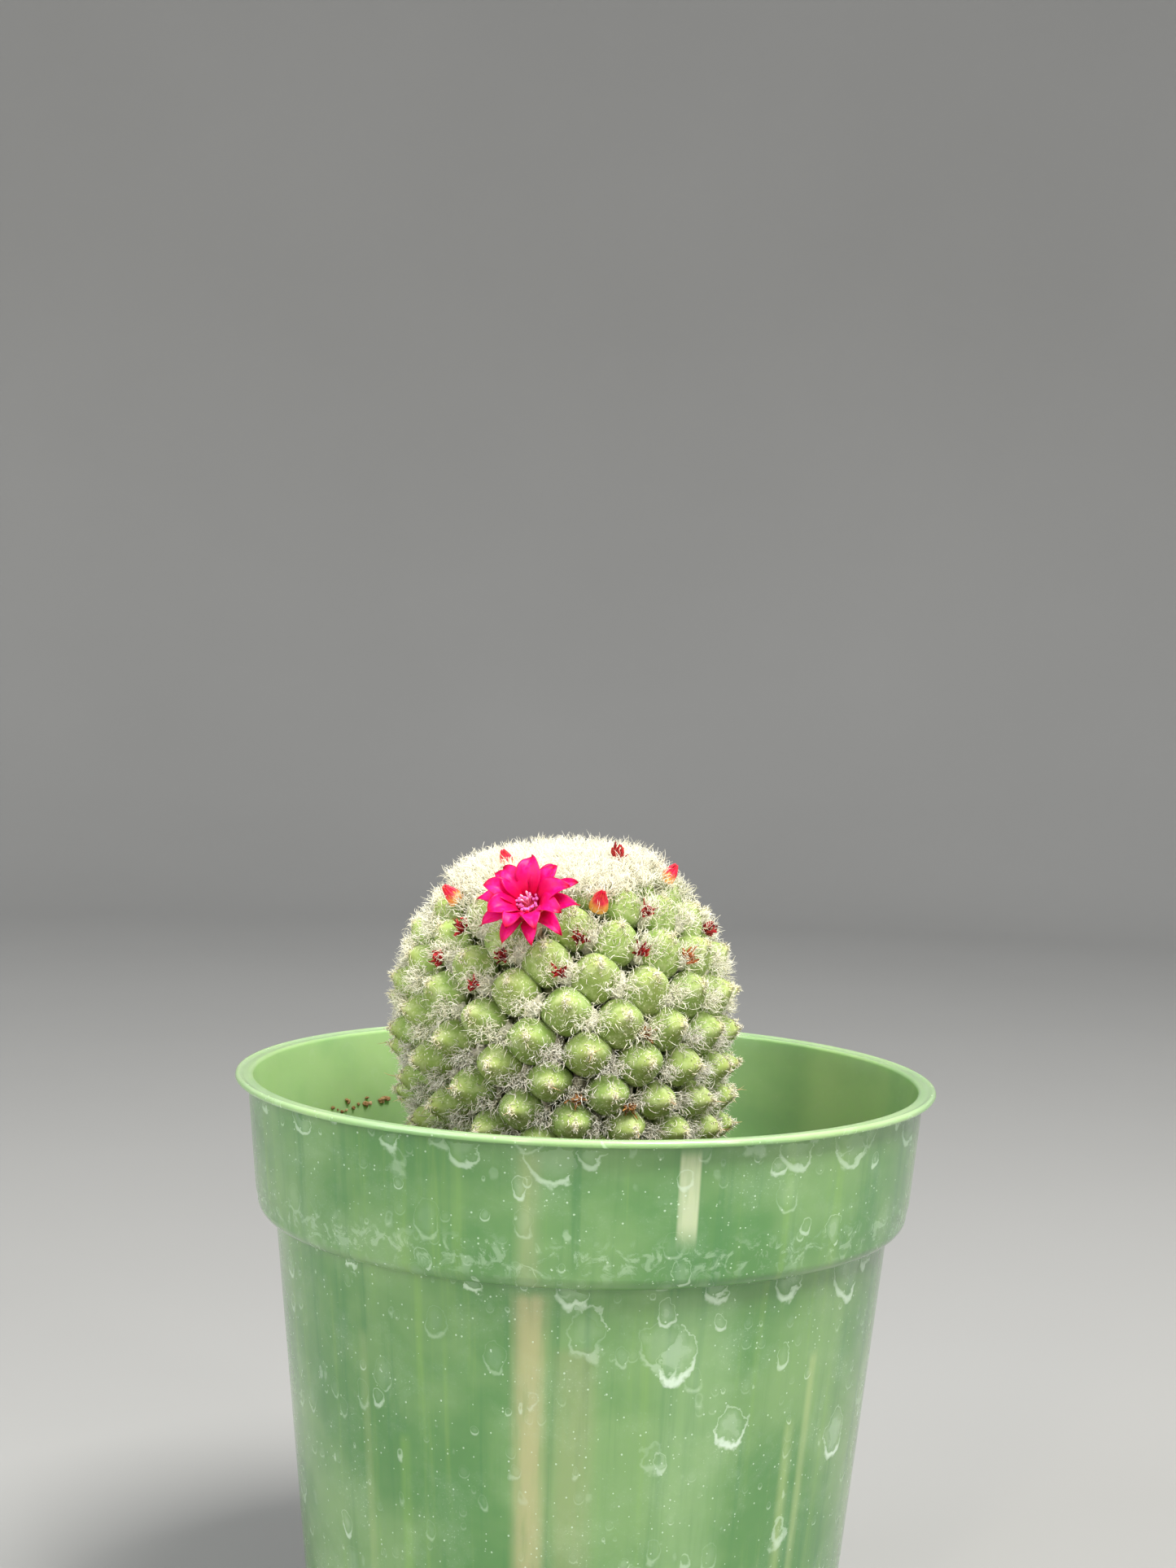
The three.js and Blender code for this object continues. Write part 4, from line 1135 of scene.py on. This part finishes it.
# %% Tube, stamens and stigma
tube_length, tube_ribs = 9.0, 12
tube_rows, tube_sides = 26, 48
tube_along = np.linspace(0, 1, tube_rows)[:, None]
tube_angles = np.arange(tube_sides) / tube_sides * 2 * math.pi
ribbed = 1 + 0.035 * np.cos(tube_ribs * tube_angles) * ease(tube_along, 0.3, 0.8)
tube_radius = (0.85 + 0.35 * tube_along + 1.15 * ease(tube_along, 0.62, 1.0)) * ribbed
tube_grid = np.stack([tube_radius * np.cos(tube_angles), tube_radius * np.sin(tube_angles),
                      -tube_length * (1 - tube_along) + 0 * tube_angles], -1)
tube = new_piece("flower_funnel", on_site(flower, tube_grid.reshape(-1, 3)),
                 closed_grids(tube_rows, tube_sides, [0]),
                 {"along": np.repeat(tube_along, tube_sides)})
blush = Finish("pale_blush", roughness=0.45, specular=0.4)
blush_noise = blush.noise(blush.place(), 900.0)
blush_low = blush.mix(blush.span(blush_noise, 0.3, 0.7), (0.80, 0.62, 0.46), (0.86, 0.50, 0.42))
blush.colour(blush.mix(blush.span(blush.value("along"), 0.72, 1.0), blush_low, (0.82, 0.10, 0.14)))
blush.bump(blush_noise, 0.05, 0.4)
dress(tube, blush, "flower_tube", "flower_tube")


def threads(name, site, feet, aims, lengths, thickness, knob, dice):
    """Upright threads with a small knob on each, as one piece."""
    points = []
    rows, sides = 12, 8
    t = np.linspace(0, 1, rows)
    knob_part = np.clip((t - 0.72) / 0.28, 0, 1)
    a = np.arange(sides) / sides * 2 * math.pi
    for foot, aim, length in zip(feet, unit(aims), lengths):
        side = unit(np.cross(aim, [0.3, 1.0, 0.2]))
        over = np.cross(aim, side)
        radius = thickness + (knob - thickness) * np.sin(math.pi * knob_part) ** 0.7
        radius = np.where(t >= 1, 0.02, radius) * (1 + 0.12 * dice.normal(size=rows))
        bend = 0.25 * length * (t ** 2)[:, None] * unit(side + over * dice.normal())
        centre = foot + aim * (length * t)[:, None] + bend * 0.4
        around = np.cos(a)[:, None] * side + np.sin(a)[:, None] * over
        points.append((centre[:, None] + radius[:, None, None] * around).reshape(-1, 3))
    faces = closed_grids(rows, sides, np.arange(len(points)) * rows * sides)
    along = np.tile(np.repeat(t, sides), len(points))
    return new_piece(name, on_site(site, np.concatenate(points)), faces, {"along": along})


def thread_finish(name, thread_colour, knob_colour):
    """Pale thread below, coloured knob above, both a little mealy."""
    finish = Finish(name, roughness=0.6, specular=0.3)
    mealy = finish.noise(finish.place(), 5000.0)
    bright = tuple(min(1.0, channel * 1.35) for channel in knob_colour)
    knob = finish.mix(finish.span(mealy, 0.35, 0.65), knob_colour, bright)
    finish.colour(finish.mix(finish.span(finish.value("along"), 0.62, 0.76), thread_colour, knob))
    finish.bump(mealy, 0.06, 0.6)
    return finish


stamen_dice = np.random.default_rng(7)
stamen_count, golden_angle = 46, 2.399963
ring_radius = np.sqrt(stamen_dice.uniform(0.25, 1.0, stamen_count)) * 1.2
ring_angle = np.arange(stamen_count) * golden_angle
stamen_feet = np.stack([ring_radius * np.cos(ring_angle), ring_radius * np.sin(ring_angle),
                        np.full(stamen_count, -0.2)], -1)
stamen_aims = stamen_feet * [0.32, 0.32, 0] + [0, 0, 1] + stamen_dice.normal(0, 0.12, (stamen_count, 3))
stamens = threads("stamens", flower, stamen_feet, stamen_aims, stamen_dice.uniform(1.2, 2.0, stamen_count),
                  0.07, 0.25, stamen_dice)
lilac = thread_finish("lilac_stamens", (0.80, 0.04, 0.22), (0.62, 0.13, 0.42))
dress(stamens, lilac, "stamens", "flower_stamens")

lobe_count = 5
lobe_feet = turned_points(np.array([[0.1, 0.0]]), lobe_count)[0]
lobe_aims = lobe_feet * 2.2 + [0, 0, 1]
lobe_lengths = np.full(lobe_count, 2.9)
stigma = threads("stigma_lobes", flower, lobe_feet, lobe_aims, lobe_lengths, 0.09, 0.2, stamen_dice)
pale_pink = thread_finish("pale_stigma", (0.80, 0.20, 0.36), (0.80, 0.36, 0.52))
dress(stigma, pale_pink, "stigma", "flower_stigma")

# %% [markdown]
# A bud is the same petal blade, bent the other way: two layers of five blades close over
# each other to a point, red above and orange at the foot. A dried flower is what is left
# weeks later: a tuft of narrow shreds, dark red to brown, curled in on themselves. Both
# use the blade that made the petals, so one shape grows, opens and withers.

# %% Buds and dried flowers
bud_dice = np.random.default_rng(13)
# tubercle, millimetres across and up from its tip, stand off the outline, radius
bud_sites = ((45, -2.1, 3.0, 2.2, 1.6), (47, -2.2, 3.8, 1.8, 1.15), (26, 0.2, 2.2, 2.2, 1.0),
             (48, 0.0, 4.5, 2.2, 0.95))
bud_layers, blades_per_layer = 2, 5
bud_blades = []
for *place, radius in bud_sites:
    site = site_frame(*place)
    for layer in range(bud_layers):
        length = 3.9 * (0.7 + 0.19 * radius) - layer
        start, end = -8 + 5 * layer, -34 + 8 * layer
        leaning = np.radians(start + (end - start) * np.linspace(0, 1, 21)[:-1] ** 1.15)
        foot_radius = 0.1 + 0.1 * layer - np.mean(np.sin(leaning)) * length
        for number in range(blades_per_layer):
            points, faces, values = petal_blade(
                length=length, width=radius * 0.75, foot_width=radius * 1.5, foot_radius=foot_radius,
                foot_lift=-length * 0.8, start=start, end=end, cup=0.45, wave=0.08, twist=0.1,
                dice=bud_dice, thickness=0.18, tip_power=0.85)
            angle = 2 * math.pi * (number + 0.5 * layer + bud_dice.normal(0, 0.06)) / blades_per_layer
            bud_blades.append((site, (turned_about(points, angle), faces, values)))
buds = merge_blades("flower_buds", bud_blades)

bud_red = Finish("bud_red", roughness=0.4, specular=0.45)
bud_noise = bud_red.noise(bud_red.place(), 1100.0)
bud_share = bud_red.span(bud_red.value("along"), 0.22, 0.5)
bud_base = bud_red.mix(bud_share, (0.86, 0.42, 0.09), (0.82, 0.02, 0.07))
bud_red.colour(bud_red.mix(bud_red.span(bud_noise, 0.45, 0.7, 0.0, 0.5), bud_base, (0.82, 0.10, 0.03)))
bud_red.bump(bud_noise, 0.06, 0.5)
dress(buds, bud_red, "bud", *[f"bud_{n:02d}" for n in range(1, 5)])

dried_dice = np.random.default_rng(17)
# tubercle, millimetres across and up from its tip, stand off the outline, radius, age
dried_sites = (
    (27, -0.8, 1.9, 1.7, 1.25, 0.0), (55, -3.4, 3.8, -0.8, 0.95, 0.0), (63, -1.4, 3.6, -0.6, 1.1, 0.0),
    (58, -2.3, 4.0, -0.6, 1.15, 0.0), (71, -0.6, 4.4, -0.6, 1.15, 0.0), (66, -1.0, 4.0, -0.6, 1.2, 0.0),
    (53, -1.0, 4.1, -0.6, 0.9, 0.0), (74, -0.6, 4.2, -0.7, 1.1, 0.6), (76, 0.0, 4.2, -0.8, 1.1, 0.0),
    (68, -0.1, 4.0, -0.8, 1.0, 0.0), (69, -2.2, 4.2, -0.8, 0.9, 0.0), (100, 0.3, 4.2, -2.2, 0.95, 1.0),
    (126, 0.6, 3.3, -2.2, 1.05, 1.0), (134, 0.0, 3.1, -2.2, 0.95, 1.0),
)
shreds_per_flower = 20
dried_blades = []
for *place, radius, age in dried_sites:
    site = site_frame(*place)
    for _ in range(shreds_per_flower):
        points, faces, values = petal_blade(
            length=dried_dice.uniform(1.5, 2.7), width=dried_dice.uniform(0.30, 0.65), foot_width=0.30,
            foot_radius=radius * dried_dice.uniform(0.05, 0.55), foot_lift=-1.2,
            start=dried_dice.uniform(0, 60), end=dried_dice.uniform(-100, 60), cup=0.9, wave=0.12,
            twist=dried_dice.normal(0, 1.8), dice=dried_dice, rows=12, columns=5, thickness=0.12)
        values["age"] = np.full(len(points), age)
        values["shade"] = np.full(len(points), dried_dice.uniform(0, 1))
        points = turned_about(points, dried_dice.uniform(0, 2 * math.pi))
        dried_blades.append((site, (points, faces, values)))
dried = merge_blades("dried_flowers", dried_blades)

withered = Finish("withered_red", roughness=0.7, specular=0.25)
withered_noise = withered.noise(withered.place(), 2500.0)
dark_red = withered.mix(withered.value("shade"), (0.12, 0.006, 0.010), (0.62, 0.030, 0.040))
brown = withered.mix(withered.value("shade"), (0.20, 0.09, 0.03), (0.62, 0.30, 0.08))
aged = withered.mix(withered.value("age"), dark_red, brown)
withered.colour(withered.mix(withered.span(withered_noise, 0.5, 0.75, 0.0, 0.6), aged, (0.55, 0.12, 0.05)))
withered.bump(withered_noise, 0.08, 0.7)
dress(dried, withered, "dried_flower", *[f"dried_flower_{n:02d}" for n in range(1, 15)])

# %% [markdown]
# The soil is a dark, loose potting mix with pale grit. Its body is a closed disc as deep
# as the pot, with a lumpy top, and loose grains are scattered over it: small faceted
# stones, each squashed and turned in its own way. Some crumbs also cling to the wall.

# %% Soil and grit
soil_low, soil_high = (np.array(corner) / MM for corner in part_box("soil"))
soil_dice = np.random.default_rng(19)
soil_rows, soil_sides = 60, 160
soil_outer = soil_high[0] - 0.1
radii = np.linspace(soil_outer, 0.5, soil_rows)
soil_turned = turned_points(np.stack([radii, np.full(soil_rows, soil_top)], -1), soil_sides)
rolling = sum(
    amount * np.sin(soil_turned[..., 0] * f + a) * np.cos(soil_turned[..., 1] * f * 0.93 + b)
    for amount, f, a, b in ((0.7, 0.16, 0.3, 1.0), (0.4, 0.45, 2.0, 0.2), (0.22, 1.3, 1.1, 3.0))
)
soil_turned[..., 2] += np.minimum(rolling - 0.6 + soil_dice.normal(0, 0.16, rolling.shape), 0.6)
soil_bottom = soil_low[2]
bottom_radius = soil_outer - (soil_top - soil_bottom) * body_slope
side_heights = np.linspace(soil_bottom, soil_top - 1.5, 14)
side_radii = bottom_radius + (side_heights - soil_bottom) * body_slope
side_radii[0] -= base_round
soil_edge = turned_points(np.stack([side_radii, side_heights], -1), soil_sides)
soil_grid = np.concatenate([soil_edge, soil_turned])
soil = new_piece("potting_soil", soil_grid.reshape(-1, 3), closed_grids(len(soil_grid), soil_sides, [0]))

earth = Finish("dark_soil", roughness=0.95, specular=0.15)
earth_place = earth.place()
crumbs = earth.noise(earth_place, 700.0, detail=6.0, roughness=0.7)
earth.colour(earth.mix(earth.span(crumbs, 0.35, 0.7), (0.018, 0.012, 0.008), (0.11, 0.07, 0.042)))
earth.bump(crumbs, 0.8, 1.0)
dress(soil, earth, "soil", "soil")

pebble_rows, pebble_sides = 5, 6
pebble_polar = np.linspace(0.35, math.pi - 0.35, pebble_rows)
pebble_outline = np.stack([np.sin(pebble_polar), -np.cos(pebble_polar)], -1)
pebble = turned_points(pebble_outline, pebble_sides).reshape(-1, 3)


def scattered_grains(name, centres, sizes, finish, dice):
    """Irregular grains at the given places, as one piece; each grain has its own tint."""
    count = len(centres)
    squash = dice.uniform(0.6, 1.15, (count, 1, 3))
    spins = np.linalg.qr(dice.normal(size=(count, 3, 3)))[0]
    spins[np.linalg.det(spins) < 0, :, 0] *= -1
    rough = 1 + dice.normal(0, 0.10, (count, len(pebble), 1))
    grains = np.einsum("npi,nij->npj", pebble[None] * squash * rough, spins)
    points = (centres[:, None] + grains * sizes[:, None, None]).reshape(-1, 3)
    faces = closed_grids(pebble_rows, pebble_sides, np.arange(count) * len(pebble))
    tint = np.repeat(dice.uniform(0, 1, count), len(pebble))
    return dress(new_piece(name, points, faces, {"tint": tint}, smooth=False), finish, "soil")


def stone_finish(name, dark, middle, pale):
    """Mostly dark grains, some brown, a few pale ones, all of them mottled."""
    finish = Finish(name, roughness=0.9, specular=0.2)
    tint = finish.value("tint")
    mottled = finish.noise(finish.place(), 2500.0)
    colour = finish.mix(finish.span(tint, 0.1, 0.6), dark, middle)
    colour = finish.mix(finish.span(tint, 0.70, 0.95), colour, pale)
    finish.colour(finish.mix(finish.span(mottled, 0.4, 0.7, 0.0, 0.45), colour, middle))
    finish.bump(mottled, 0.15, 0.8)
    return finish


grain_count = 1500
grain_radius = np.sqrt(soil_dice.uniform(0.12, 1.0, grain_count)) * (soil_outer - 1.2)
grain_angle = soil_dice.uniform(0, 2 * math.pi, grain_count)
grain_sizes = soil_dice.uniform(0.35, 1.15, grain_count)
grain_places = np.stack([grain_radius * np.cos(grain_angle), grain_radius * np.sin(grain_angle),
                         soil_top - 0.7 + grain_sizes * 0.3], -1)
grit_finish = stone_finish("grit", (0.045, 0.028, 0.018), (0.12, 0.075, 0.04), (0.46, 0.43, 0.37))
scattered_grains("soil_grit", grain_places, grain_sizes, grit_finish, soil_dice)

# %% Crumbs on the inner wall
crumb_count = 26
crumb_angle = np.radians(soil_dice.normal(141, 7, crumb_count))
crumb_height = soil_dice.normal(92.2, 0.7, crumb_count)
crumb_size = soil_dice.uniform(0.2, 0.65, crumb_count)
crumb_radius = inner_collar_foot + (crumb_height - ledge) * collar_slope - crumb_size * 0.6
crumb_places = np.stack([crumb_radius * np.cos(crumb_angle), crumb_radius * np.sin(crumb_angle),
                         crumb_height], -1)
crumb_finish = stone_finish("crumb", (0.26, 0.14, 0.06), (0.36, 0.22, 0.10), (0.50, 0.36, 0.20))
scattered_grains("wall_crumbs", crumb_places, crumb_size, crumb_finish, soil_dice)
